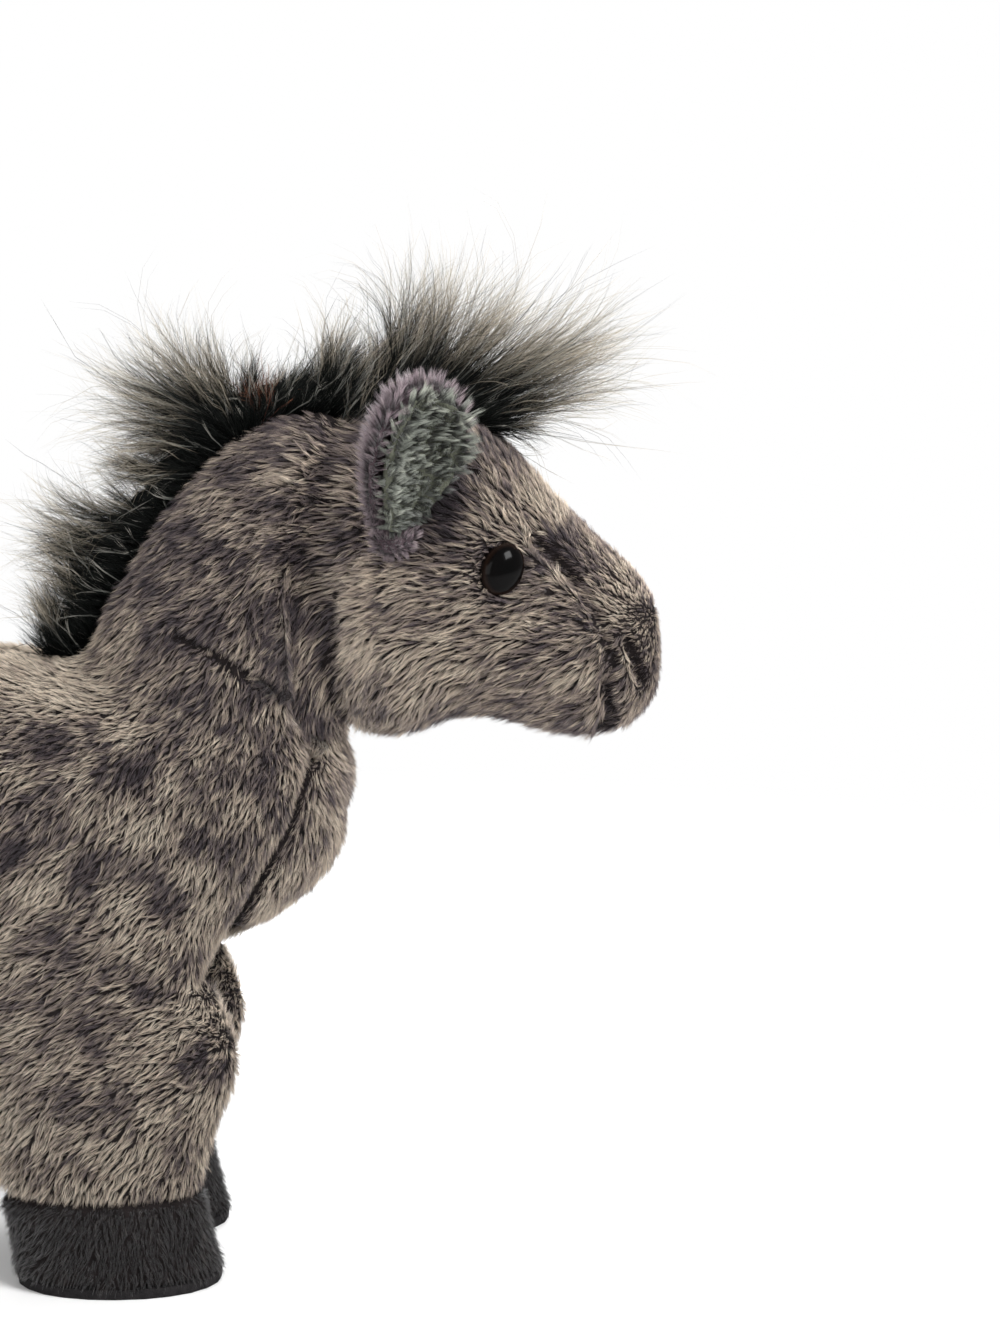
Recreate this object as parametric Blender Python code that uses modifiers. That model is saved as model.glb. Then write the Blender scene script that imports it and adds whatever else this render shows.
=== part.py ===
# Plush foal, standing: a stuffed toy horse with a long-pile mane, sewn-on ears and soft legs.
# Metres, +Z up. The toy faces +X, is symmetric about Y = 0 and stands on Z = 0.
# Each stuffed form is a coarse loft of rings, rounded by Subdivision Surface. Where two forms
# meet at a bending seam, the seam is round about that joint's axis, so the toy can move there.

import math

import bmesh
import bpy
from mathutils import Matrix, Vector
from mathutils.bvhtree import BVHTree

# Overall sizes of the stuffed forms
TRUNK_LENGTH = 0.148
TRUNK_HEIGHT = 0.077
TRUNK_WIDTH = 0.068
NECK_WIDTH = 0.054
HEAD_LENGTH = 0.074
HEAD_HEIGHT = 0.074
HEAD_WIDTH = 0.048
LEG_LENGTH = 0.104
LEG_THICKNESS = 0.052
LEG_WIDTH = 0.030

# Places of the forms
CHEST_X = 0.052
TRUNK_MID_Z = 0.0985
NECK_BASE_X = 0.0104
NECK_BASE_Z = 0.099
HEAD_BACK_X = 0.042
HEAD_MID_Z = 0.148
NOSE_X = HEAD_BACK_X + HEAD_LENGTH
FORELEG_X = -0.001
HINDLEG_X = -0.073
LEG_Y = 0.0198

# Clearances
SEAM_GAP = 0.0003
JOINT_GAP = 0.0005
SWING_GAP = 0.0014
ANGLE_GAP = math.radians(1.5)
CUT_OVERRUN = 0.002
WELD = 0.000002
FLAT_ANGLE = math.radians(1.5)

# Bending seams: where they turn, how large their round seats are, how far they go
HIP_Z = 0.086
HIP_RADIUS = 0.024
LEG_SWING = math.radians(8)
NECK_PIVOT_X = 0.0060
NECK_PIVOT_Z = 0.0950
NECK_RADIUS = 0.0400
NECK_NOD_DOWN = math.radians(6)
NECK_NOD_UP = math.radians(5)
NECK_LIP_ANGLE = math.radians(16)
NECK_NAPE_ANGLE = math.radians(114)
NECK_NAPE_REACH = 0.041
TURN_X = 0.029
TURN_RADIUS = 0.0215
HEAD_TURN = math.radians(12)
HEAD_WRAP = math.radians(54)

# Plush fabric and sewn-in panels
FABRIC = 0.0018
GUSSET_CHEST_HALF = 0.0135
GUSSET_LEG_HALF = 0.0042
GUSSET_BELLY_HALF = 0.0125
GUSSET_REAR_HALF = 0.0045
GUSSET_TOP_Z = 0.110

# Hooves and soles
HOOF_HEIGHT = 0.020
SOLE_THICKNESS = 0.0022

# Pellet bag in the belly
BAG_LENGTH = 0.046
BAG_WIDTH = 0.019
BAG_HEIGHT = 0.020
BAG_X = -0.035

# Safety eyes and their lock washers
EYE_RADIUS = 0.0060
EYE_BULGE = 0.0034
EYE_EDGE = 0.0008
SHANK_RADIUS = 0.0016
SHANK_LENGTH = 0.0105
SHANK_RIB = 0.0003
WASHER_RADIUS = 0.0050
WASHER_THICKNESS = 0.0014
WASHER_DEPTH = 0.0052
EYE_X = 0.0821
EYE_Z = 0.1515
EYE_TURN = math.radians(20)
EYE_TILT = math.radians(6)
EYE_SEAT = 0.0008

# Ears
EAR_LENGTH = 0.037
EAR_WIDTH = 0.028
EAR_LAYER = 0.0026
EAR_CUP = 0.0050
EAR_ROLL_RADIUS = 0.0035
EAR_ROLL_HALF = 0.0048
EAR_STAND_OFF = 0.0014
EAR_X = 0.0595
EAR_Z = 0.1585
EAR_FACING = math.radians(44)
EAR_SPLAY = math.radians(26)
EAR_LEAN = math.radians(5)
EAR_FOLD_OUT = math.radians(20)
EAR_FOLD_IN = math.radians(10)

# Mane and forelock: a sewn strip with tapered locks of long pile
STRIP_THICKNESS = 0.0026
STRIP_HALF_WIDTH = 0.0042
CREST_HEIGHT = 0.020
CREST_DEPTH = 0.004
LOCK_LENGTH = 0.031
LOCK_RADIUS = 0.0030
FORELOCK_STATIONS = 4
MANE_HUB_X = 0.030
MANE_HUB_Z = 0.140
MANE_START = math.radians(184)
MANE_END = math.radians(68)
HUB_REACH = 0.070
FORELOCK_BACK_X = 0.0535
FORELOCK_FRONT_X = 0.0770

# Tail
TAIL_X = -0.0960
TAIL_Z = 0.1130
DOCK_RADIUS = 0.0056
TAIL_LENGTH = 0.066
TAIL_THICKNESS = 0.013
TAIL_WIDTH = 0.022
TAIL_LOCKS = 7

# Faces of a round cut, of a limb's ring and of a lock
ROUND_STEPS = 40
TRUNK_SIDES = 14
HEAD_SIDES = 12
NECK_SIDES = 12
LEG_SIDES = 12
TAIL_SIDES = 8
LOCK_SIDES = 4

# Rings of the trunk, rump to chest: place along it, height of the middle, half height, half width
TRUNK_RING_SHARES = (
    (0.000, 0.016, 0.190, 0.215),
    (0.050, 0.008, 0.350, 0.380),
    (0.160, 0.000, 0.475, 0.490),
    (0.325, -0.020, 0.470, 0.505),
    (0.500, -0.026, 0.461, 0.505),
    (0.675, -0.029, 0.451, 0.495),
    (0.825, 0.000, 0.385, 0.455),
    (0.935, 0.035, 0.290, 0.370),
    (0.992, 0.060, 0.165, 0.230),
)

# Rings of the head, back to nose: place along it, height of the middle, half height, half width
HEAD_RING_SHARES = (
    (0.020, -0.010, 0.385, 0.370),
    (0.120, 0.000, 0.475, 0.460),
    (0.270, 0.002, 0.505, 0.500),
    (0.430, 0.036, 0.448, 0.500),
    (0.570, -0.036, 0.411, 0.465),
    (0.715, -0.150, 0.345, 0.410),
    (0.860, -0.212, 0.275, 0.360),
    (0.960, -0.225, 0.195, 0.280),
    (0.998, -0.232, 0.095, 0.150),
)

# Rings of the neck, base to poll: X and Z of the middle from the neck's base, the angle of the
# axis above +X, half depth and half width. Lengths are shares of the neck's width.
NECK_RING_SHARES = (
    (0.17, 0.16, 84, 0.555, 0.40),
    (0.20, 0.42, 72, 0.58, 0.47),
    (0.33, 0.71, 60, 0.50, 0.43),
    (0.49, 0.99, 52, 0.435, 0.380),
    (0.68, 1.245, 36, 0.375, 0.335),
    (0.86, 1.270, 12, 0.295, 0.280),
)

# Rings of a leg, hip to floor: height, X of the middle, half thickness, half width. Heights are
# shares of the leg's length, X and thickness of its thickness.
FORELEG_RING_SHARES = (
    (1.020, 0.03, 0.28, 0.30),
    (0.900, 0.01, 0.450, 0.44),
    (0.760, 0.00, 0.465, 0.48),
    (0.640, -0.045, 0.450, 0.50),
    (0.540, 0.005, 0.515, 0.52),
    (0.450, 0.030, 0.535, 0.53),
    (0.360, 0.000, 0.490, 0.50),
    (0.265, -0.035, 0.445, 0.46),
    (0.180, -0.035, 0.430, 0.46),
    (0.090, 0.010, 0.430, 0.50),
    (0.020, 0.035, 0.440, 0.54),
    (-0.060, 0.040, 0.445, 0.55),
)
HINDLEG_RING_SHARES = (
    (1.050, 0.06, 0.340, 0.30),
    (0.900, 0.05, 0.520, 0.46),
    (0.740, 0.02, 0.510, 0.51),
    (0.580, -0.02, 0.455, 0.51),
    (0.430, -0.04, 0.440, 0.52),
    (0.330, -0.04, 0.415, 0.50),
    (0.225, -0.02, 0.380, 0.46),
    (0.120, 0.02, 0.405, 0.50),
    (0.020, 0.06, 0.450, 0.56),
    (-0.060, 0.07, 0.460, 0.57),
)

# Rings of a lock of pile, root to tip: place along it and radius
LOCK_RING_SHARES = (
    (0.00, 1.00),
    (0.50, 0.76),
    (1.00, 0.16),
)

# Locks along the mane, withers to poll: how far they lean towards the poll, and their length
MANE_LOCK_SHARES = (
    (0.50, 0.72),
    (0.36, 0.85),
    (0.22, 1.00),
    (0.10, 1.12),
    (-0.05, 1.10),
    (-0.20, 0.95),
    (-0.34, 0.80),
    (-0.36, 0.72),
    (-0.25, 0.78),
    (-0.15, 0.92),
    (-0.02, 1.05),
)

# Roundness of the rings: under 1 they are fuller at the corners
TRUNK_FULLNESS_SHARE = 0.86
LIMB_FULLNESS_SHARE = 0.94
# How much narrower the crown of the head is than its jaw
HEAD_CROWN_SHARE = 0.10

# Front seam of the face panel in side view: X from the head's back and Z from its middle, as
# shares of the head's length and height
FACE_SEAM_SHARES = (
    (0.43, 0.62),
    (0.52, 0.33),
    (0.655, 0.085),
    (0.745, -0.02),
    (0.815, -0.12),
    (0.848, -0.21),
    (0.865, -0.28),
    (0.850, -0.38),
    (0.840, -0.62),
)

COLLECTION_NAME = "plush_horse"


# Scene setup


def clear_scene():
    for obj in list(bpy.data.objects):
        bpy.data.objects.remove(obj, do_unlink=True)


def new_collection(name):
    collection = bpy.data.collections.new(name)
    bpy.context.scene.collection.children.link(collection)
    return collection


clear_scene()
PARTS = new_collection(COLLECTION_NAME)
GUIDES = new_collection("guides_and_cutters")


def make_material(name, colour, roughness, metallic=0.0):
    material = bpy.data.materials.new(name)
    material.use_nodes = True
    shader = material.node_tree.nodes["Principled BSDF"]
    shader.inputs["Base Color"].default_value = (*colour, 1.0)
    shader.inputs["Roughness"].default_value = roughness
    shader.inputs["Metallic"].default_value = metallic
    return material


COAT = (0.27, 0.22, 0.20)
COAT_DARK = (0.17, 0.14, 0.14)
EAR_LINING = (0.20, 0.21, 0.18)
MANE_DARK = (0.035, 0.040, 0.038)
HOOF_DARK = (0.045, 0.042, 0.043)
EYE_BLACK = (0.012, 0.008, 0.007)
WASHER_WHITE = (0.75, 0.75, 0.72)
BAG_CLOTH = (0.72, 0.70, 0.66)


# Mesh helpers


def link_mesh(name, mesh, collection):
    obj = bpy.data.objects.new(name, mesh)
    collection.objects.link(obj)
    return obj


def as_guide(obj):
    """Marks a form or a cutter, which isn't a piece of the toy."""
    for collection in list(obj.users_collection):
        collection.objects.unlink(obj)
    GUIDES.objects.link(obj)
    obj.hide_render = True
    obj.display_type = "WIRE"
    return obj


def mesh_from_bmesh(name, bm, collection):
    bmesh.ops.recalc_face_normals(bm, faces=bm.faces)
    mesh = bpy.data.meshes.new(name)
    bm.to_mesh(mesh)
    bm.free()
    return link_mesh(name, mesh, collection)


def drop_flaps(bm):
    """Removes pairs of triangles that lie on each other."""
    by_corners = {}
    for face in bm.faces:
        by_corners.setdefault(frozenset(face.verts), []).append(face)
    flaps = [face for faces in by_corners.values() if len(faces) > 1 for face in faces]
    bmesh.ops.delete(bm, geom=flaps, context="FACES")


def finish(obj, colour, roughness, metallic=0.0):
    """Gives a piece its own material and smooth shading, and joins facets that are nearly flat."""
    bm = bmesh.new()
    bm.from_mesh(obj.data)
    bmesh.ops.dissolve_limit(bm, angle_limit=FLAT_ANGLE, verts=bm.verts, edges=bm.edges)
    bmesh.ops.triangulate(bm, faces=bm.faces)
    drop_flaps(bm)
    bm.to_mesh(obj.data)
    bm.free()
    obj.data.materials.clear()
    obj.data.materials.append(make_material(obj.name, colour, roughness, metallic))
    obj.data.shade_smooth()
    return obj


def loft(name, rings, collection):
    """A closed cage through rings of points, each ring the same count, with flat ends."""
    bm = bmesh.new()
    loops = [[bm.verts.new(point) for point in ring] for ring in rings]
    sides = len(loops[0])
    for near, far in zip(loops, loops[1:]):
        for i in range(sides):
            j = (i + 1) % sides
            bm.faces.new((near[i], near[j], far[j], far[i]))
    bm.faces.new(loops[0])
    bm.faces.new(list(reversed(loops[-1])))
    return mesh_from_bmesh(name, bm, collection)


def ring_gain(sides):
    """How much larger a cage ring is than the smooth ring that subdivision makes of it."""
    return 6 / (4 + 2 * math.cos(math.tau / sides))


def signed_power(value, power):
    return math.copysign(abs(value) ** power, value)


def ring_points(centre, up, across, half_up, half_across, sides, fullness=1.0, crown=0.0):
    """One ring of a cage: centre + up and across directions, with a crown narrower than the base."""
    gain = ring_gain(sides)
    points = []
    for i in range(sides):
        angle = math.tau * (i + 0.5) / sides
        rise = signed_power(math.sin(angle), fullness)
        side = signed_power(math.cos(angle), fullness) * (1 - crown * rise)
        points.append(centre + up * (half_up * gain * rise) + across * (half_across * gain * side))
    return points


def subdivide(obj, levels):
    modifier = obj.modifiers.new("soft_form", "SUBSURF")
    modifier.levels = levels
    modifier.render_levels = levels
    return obj


def swell(obj, distance):
    """Moves the surface out along its normals, or in where the distance is negative."""
    modifier = obj.modifiers.new("swell", "DISPLACE")
    modifier.mid_level = 0
    modifier.strength = distance
    return obj


def evaluated_mesh(obj):
    """The mesh that an object's modifiers make, welded and in flat triangles."""
    bpy.context.view_layer.update()
    graph = bpy.context.evaluated_depsgraph_get()
    mesh = bpy.data.meshes.new_from_object(obj.evaluated_get(graph))
    bm = bmesh.new()
    bm.from_mesh(mesh)
    bmesh.ops.remove_doubles(bm, verts=bm.verts, dist=WELD)
    bmesh.ops.dissolve_degenerate(bm, edges=bm.edges, dist=WELD)
    bmesh.ops.triangulate(bm, faces=bm.faces)
    bmesh.ops.recalc_face_normals(bm, faces=bm.faces)
    bm.to_mesh(mesh)
    bm.free()
    return mesh


def is_closed(mesh):
    bm = bmesh.new()
    bm.from_mesh(mesh)
    closed = len(bm.faces) > 0 and all(edge.is_manifold for edge in bm.edges)
    bm.free()
    return closed


def volume(mesh):
    bm = bmesh.new()
    bm.from_mesh(mesh)
    amount = abs(bm.calc_volume())
    bm.free()
    return amount


# The least part of a form's volume that a cut leaves of it
LEAST_LEFT_SHARE = 0.10


def boolean(obj, operation, other):
    """Cuts or joins. The manifold solver is only for where the exact one leaves an open solid or a scrap."""
    least = 0.0 if operation == "INTERSECT" else volume(evaluated_mesh(obj)) * LEAST_LEFT_SHARE
    modifier = obj.modifiers.new(operation.lower(), "BOOLEAN")
    modifier.operation = operation
    modifier.object = other
    for solver in ("EXACT", "MANIFOLD"):
        modifier.solver = solver
        mesh = evaluated_mesh(obj)
        if is_closed(mesh) and volume(mesh) > least:
            break
    obj.modifiers.clear()
    obj.data = mesh
    return obj


def baked(name, obj, collection):
    """A new object with the evaluated mesh of obj, in world space."""
    mesh = evaluated_mesh(obj)
    mesh.transform(obj.matrix_world)
    return link_mesh(name, mesh, collection)


def surface_tree(obj):
    bpy.context.view_layer.update()
    return BVHTree.FromObject(obj, bpy.context.evaluated_depsgraph_get())


def box(name, low, high):
    bm = bmesh.new()
    bmesh.ops.create_cube(bm, size=1)
    low = Vector(low)
    high = Vector(high)
    size = high - low
    place = Matrix.Translation((low + high) / 2) @ Matrix.Diagonal((*size, 1))
    bmesh.ops.transform(bm, matrix=place, verts=bm.verts)
    return as_guide(mesh_from_bmesh(name, bm, GUIDES))


def drum(name, centre, axis, radius, half_length, steps=ROUND_STEPS):
    """A round solid about an axis, used as the seat of a bending seam."""
    bm = bmesh.new()
    bmesh.ops.create_cone(
        bm, cap_ends=True, segments=steps, radius1=radius, radius2=radius, depth=2 * half_length
    )
    turn = Vector((0, 0, 1)).rotation_difference(Vector(axis)).to_matrix().to_4x4()
    bmesh.ops.transform(bm, matrix=Matrix.Translation(centre) @ turn, verts=bm.verts)
    return as_guide(mesh_from_bmesh(name, bm, GUIDES))


def side_prism(name, outline, half_width):
    """An outline of (x, z) points, extruded half_width each way along Y."""
    bm = bmesh.new()
    verts = [bm.verts.new((x, -half_width, z)) for x, z in outline]
    face = bm.faces.new(verts)
    grown = bmesh.ops.extrude_face_region(bm, geom=[face])["geom"]
    moved = [item for item in grown if isinstance(item, bmesh.types.BMVert)]
    bmesh.ops.translate(bm, vec=(0, 2 * half_width, 0), verts=moved)
    return as_guide(mesh_from_bmesh(name, bm, GUIDES))


def plan_prism(name, outline, low_z, high_z):
    """An outline of (x, y) points, extruded between two heights."""
    bm = bmesh.new()
    verts = [bm.verts.new((x, y, low_z)) for x, y in outline]
    face = bm.faces.new(verts)
    grown = bmesh.ops.extrude_face_region(bm, geom=[face])["geom"]
    moved = [item for item in grown if isinstance(item, bmesh.types.BMVert)]
    bmesh.ops.translate(bm, vec=(0, 0, high_z - low_z), verts=moved)
    return as_guide(mesh_from_bmesh(name, bm, GUIDES))


def turned(name, profile, steps, collection):
    """A solid of revolution about Z. Its (radius, height) points run from top to bottom, or round a ring."""
    mesh = bpy.data.meshes.new(name)
    ring = profile[0] == profile[-1]
    points = profile[:-1] if ring else profile
    edges = [(i, i + 1) for i in range(len(points) - 1)]
    if ring:
        edges.append((len(points) - 1, 0))
    mesh.from_pydata([(r, 0, z) for r, z in points], edges, [])
    obj = link_mesh(name, mesh, collection)
    screw = obj.modifiers.new("turn", "SCREW")
    screw.axis = "Z"
    screw.steps = steps
    screw.render_steps = steps
    screw.use_merge_vertices = True
    screw.merge_threshold = WELD
    return obj


def set_origin(obj, pivot):
    """Puts an object's origin at its joint, with its mesh where it was."""
    obj.data.transform(Matrix.Translation(-Vector(pivot)))
    obj.location = pivot
    return obj


# Stuffed forms

UP = Vector((0, 0, 1))
ACROSS = Vector((0, 1, 0))
AHEAD = Vector((1, 0, 0))


def trunk_form(name, extra=0.0):
    rings = []
    for along, middle, half_height, half_width in TRUNK_RING_SHARES:
        centre = Vector((
            CHEST_X - TRUNK_LENGTH * (1 - along),
            0,
            TRUNK_MID_Z + middle * TRUNK_HEIGHT,
        ))
        rings.append(ring_points(
            centre, UP, ACROSS, half_height * TRUNK_HEIGHT, half_width * TRUNK_WIDTH,
            TRUNK_SIDES, TRUNK_FULLNESS_SHARE,
        ))
    return as_guide(swell(subdivide(loft(name, rings, GUIDES), 1), extra))


def head_form(name, extra=0.0):
    rings = []
    for along, middle, half_height, half_width in HEAD_RING_SHARES:
        centre = Vector((
            HEAD_BACK_X + along * HEAD_LENGTH,
            0,
            HEAD_MID_Z + middle * HEAD_HEIGHT,
        ))
        rings.append(ring_points(
            centre, UP, ACROSS, half_height * HEAD_HEIGHT, half_width * HEAD_WIDTH,
            HEAD_SIDES, 1.0, HEAD_CROWN_SHARE,
        ))
    return as_guide(swell(subdivide(loft(name, rings, GUIDES), 1), extra))


def neck_form(name, extra=0.0):
    rings = []
    for x, z, angle, half_depth, half_width in NECK_RING_SHARES:
        centre = Vector((NECK_BASE_X + x * NECK_WIDTH, 0, NECK_BASE_Z + z * NECK_WIDTH))
        slope = math.radians(angle)
        back = Vector((-math.sin(slope), 0, math.cos(slope)))
        rings.append(ring_points(
            centre, back, ACROSS, half_depth * NECK_WIDTH, half_width * NECK_WIDTH,
            NECK_SIDES, LIMB_FULLNESS_SHARE,
        ))
    return as_guide(swell(subdivide(loft(name, rings, GUIDES), 1), extra))


def leg_form(name, ring_shares, hip_x, side, extra=0.0):
    rings = []
    for height, x, half_thick, half_wide in ring_shares:
        centre = Vector((hip_x + x * LEG_THICKNESS, side * LEG_Y, height * LEG_LENGTH))
        rings.append(ring_points(
            centre, AHEAD, ACROSS, half_thick * LEG_THICKNESS, half_wide * LEG_WIDTH,
            LEG_SIDES, LIMB_FULLNESS_SHARE,
        ))
    return as_guide(swell(subdivide(loft(name, rings, GUIDES), 1), extra))


# Legs, hooves and soles

FAR = TRUNK_LENGTH


def leg_edge(ring_shares, hip_x, end, height):
    """X of the leg's front (end 1) or back (end -1) in side view, at a height."""
    for upper, lower in zip(ring_shares, ring_shares[1:]):
        top = upper[0] * LEG_LENGTH
        low = lower[0] * LEG_LENGTH
        if low <= height <= top:
            part = (height - low) / (top - low)
            middle = lower[1] + (upper[1] - lower[1]) * part
            half = lower[2] + (upper[2] - lower[2]) * part
            return hip_x + (middle + end * half) * LEG_THICKNESS
    raise ValueError("no ring of the leg at this height")


def swing_outline(ring_shares, hip_x):
    """Side outline of the room that the leg sweeps below its round seat."""
    sides = []
    steps = ROUND_STEPS
    for end in (1, -1):
        points = []
        for i in range(steps + 1):
            height = HIP_Z - (HIP_Z - HOOF_HEIGHT) * i / steps
            reach = Vector((leg_edge(ring_shares, hip_x, end, height) - hip_x, height - HIP_Z))
            if reach.length > HIP_RADIUS - JOINT_GAP:
                reach.rotate(Matrix.Rotation(end * (LEG_SWING + ANGLE_GAP), 2))
                points.append(reach + Vector((end * SWING_GAP, 0)))
        sides.append(points)
    front, back = sides
    start = math.atan2(front[0].y, front[0].x)
    stop = math.atan2(back[0].y, back[0].x)
    if stop > 0:
        stop -= math.tau
    radius = HIP_RADIUS - JOINT_GAP
    arc_steps = 14
    arc = []
    for i in range(arc_steps + 1):
        angle = start + (stop - start) * i / arc_steps
        arc.append(Vector((radius * math.cos(angle), radius * math.sin(angle))))
    outline = list(reversed(front)) + arc + back
    return [(hip_x + point.x, HIP_Z + point.y) for point in outline]


def make_leg(kind, ring_shares, hip_x, side, side_name, torso):
    """A leg with its hoof and sole, and the room that its swing needs in the trunk."""
    pivot = (hip_x, side * LEG_Y, HIP_Z)
    form = leg_form(f"{kind}leg_{side_name}_form", ring_shares, hip_x, side)
    seat = drum(f"{kind}seat_{side_name}", (hip_x, 0, HIP_Z), ACROSS, HIP_RADIUS, FAR)
    pieces = []
    for part, low, high, colour in (
        ("leg", HOOF_HEIGHT + SEAM_GAP, HIP_Z, COAT),
        ("hoof", SOLE_THICKNESS + SEAM_GAP, HOOF_HEIGHT, HOOF_DARK),
        ("sole", 0.0, SOLE_THICKNESS, HOOF_DARK),
    ):
        piece = baked(f"{kind}{part}_{side_name}", form, PARTS)
        slab = box(
            piece.name + "_slab",
            (hip_x - FAR, side * LEG_Y - FAR, low),
            (hip_x + FAR, side * LEG_Y + FAR, high),
        )
        boolean(piece, "INTERSECT", slab)
        pieces.append(finish(piece, colour, 0.9))
    boolean(pieces[0], "DIFFERENCE", seat)
    for piece in pieces:
        set_origin(piece, pivot)
    inner = LEG_Y - LEG_WIDTH * max(ring[3] for ring in ring_shares) - JOINT_GAP
    outline = swing_outline(ring_shares, hip_x)
    room = side_prism(f"{kind}room_{side_name}", outline, FAR / 2)
    room.location.y = side * (inner + FAR / 2)
    boolean(torso, "DIFFERENCE", room)


def limb_top(name, ring_shares, hip_x, side):
    """The shoulder or haunch: the top of a leg's form, which belongs to the trunk."""
    form = leg_form(name + "_form", ring_shares, hip_x, side)
    top = baked(name, form, GUIDES)
    slab = box(
        name + "_slab",
        (hip_x - FAR, side * LEG_Y - FAR, HIP_Z - HIP_RADIUS - CUT_OVERRUN),
        (hip_x + FAR, side * LEG_Y + FAR, HIP_Z + FAR),
    )
    return as_guide(boolean(top, "INTERSECT", slab))


LEGS = [
    (kind, shares, hip_x, side, side_name)
    for kind, shares, hip_x in (
        ("fore", FORELEG_RING_SHARES, FORELEG_X),
        ("hind", HINDLEG_RING_SHARES, HINDLEG_X),
    )
    for side, side_name in ((-1, "right"), (1, "left"))
]


# Head and neck


def polar(centre, radius, angle):
    return (centre[0] + radius * math.cos(angle), centre[1] + radius * math.sin(angle))


def arc_points(centre, radius, start, stop, steps):
    return [polar(centre, radius, start + (stop - start) * i / steps) for i in range(steps + 1)]


def head_side(x, z, side):
    """Where the side of the head is, at this place in side view."""
    tree = surface_tree(bpy.data.objects["head_surface"])
    return tree.ray_cast(Vector((x, side * HEAD_WIDTH, z)), -ACROSS * side)[0]


def eye_frame(side):
    """Places a part turned about Z so that Z points out of the head through the eye."""
    out = Vector((math.sin(EYE_TURN), side * math.cos(EYE_TURN) * math.cos(EYE_TILT), math.sin(EYE_TILT)))
    out.normalize()
    hit = head_side(EYE_X, EYE_Z, side)
    turn = UP.rotation_difference(out).to_matrix().to_4x4()
    return Matrix.Translation(hit - out * EYE_SEAT) @ turn


def dome_profile(radius, height, points):
    """Quarter of an ellipse from the crown down to the rim."""
    return [
        (radius * math.sin(math.pi / 2 * i / points), height * math.cos(math.pi / 2 * i / points))
        for i in range(points)
    ] + [(radius, 0)]


def eye_profile():
    """Dome, rim, flat back and a ribbed shank that ends in a chamfer."""
    profile = [(r, z + EYE_EDGE) for r, z in dome_profile(EYE_RADIUS, EYE_BULGE, 5)]
    profile += [(EYE_RADIUS, 0), (SHANK_RADIUS, 0)]
    ribs = 2
    pitch = SHANK_LENGTH / (2 * ribs + 1)
    for i in range(ribs):
        top = -WASHER_DEPTH / 2 - 2 * i * pitch
        profile += [
            (SHANK_RADIUS, top),
            (SHANK_RADIUS - SHANK_RIB, top - pitch / 2),
            (SHANK_RADIUS, top - pitch),
        ]
    profile += [
        (SHANK_RADIUS, -SHANK_LENGTH + SHANK_RADIUS / 2),
        (SHANK_RADIUS / 2, -SHANK_LENGTH),
        (0, -SHANK_LENGTH),
    ]
    return profile


def washer_profile():
    """A dished lock washer about the shank."""
    inner = SHANK_RADIUS + SEAM_GAP
    dish = WASHER_THICKNESS / 2
    return [
        (inner, -WASHER_DEPTH),
        (WASHER_RADIUS, -WASHER_DEPTH - dish),
        (WASHER_RADIUS, -WASHER_DEPTH - dish - WASHER_THICKNESS),
        (inner, -WASHER_DEPTH - WASHER_THICKNESS),
        (inner, -WASHER_DEPTH),
    ]


def eye_cut_profile():
    """Seat, bore and washer pocket, with the seam gap all round."""
    bore = SHANK_RADIUS + SEAM_GAP
    pocket = WASHER_RADIUS + SEAM_GAP
    pocket_top = -WASHER_DEPTH + SEAM_GAP
    pocket_floor = -WASHER_DEPTH - 1.5 * WASHER_THICKNESS - SEAM_GAP
    return [
        (0, EYE_RADIUS),
        (EYE_RADIUS + SEAM_GAP, EYE_RADIUS),
        (EYE_RADIUS + SEAM_GAP, -SEAM_GAP),
        (bore, -SEAM_GAP),
        (bore, pocket_top),
        (pocket, pocket_top),
        (pocket, pocket_floor),
        (bore, pocket_floor),
        (bore, -SHANK_LENGTH - SEAM_GAP),
        (0, -SHANK_LENGTH - SEAM_GAP),
    ]


EYE_STEPS = 16


def make_eyes(head):
    for side, side_name in ((-1, "right"), (1, "left")):
        place = eye_frame(side)
        for name, profile, colour, roughness in (
            ("eye", eye_profile(), EYE_BLACK, 0.08),
            ("eye_washer", washer_profile(), WASHER_WHITE, 0.5),
        ):
            piece = finish(
                turned(f"{name}_{side_name}", profile, EYE_STEPS, PARTS), colour, roughness
            )
            piece.matrix_world = place
        cut = as_guide(turned(f"eye_cut_{side_name}", eye_cut_profile(), EYE_STEPS, GUIDES))
        cut.matrix_world = place
        boolean(head, "DIFFERENCE", cut)


# Ears


def ear_frame(side):
    """Ear's own frame: X along the root, Y out of the hollow face, Z up the ear."""
    root = head_side(EAR_X, EAR_Z, side) + ACROSS * (side * EAR_STAND_OFF)
    lean = Matrix.Rotation(EAR_LEAN, 4, "Y")
    splay = Matrix.Rotation(-side * EAR_SPLAY, 4, "X")
    face = Matrix.Rotation(math.pi / 2 * (1 + side) - side * EAR_FACING + math.pi, 4, "Z")
    return Matrix.Translation(root) @ splay @ lean @ face


# Rows of the ear's leaf: place up it, half width, how far the hollow is cupped
EAR_ROW_SHARES = (
    (0.06, 0.18, 0.0),
    (0.22, 0.31, 0.5),
    (0.45, 0.47, 1.0),
    (0.68, 0.50, 1.0),
    (0.86, 0.39, 0.8),
    (0.97, 0.18, 0.6),
)
EAR_COLUMN_SHARES = (-1.0, -0.5, 0.0, 0.5, 1.0)


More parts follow.
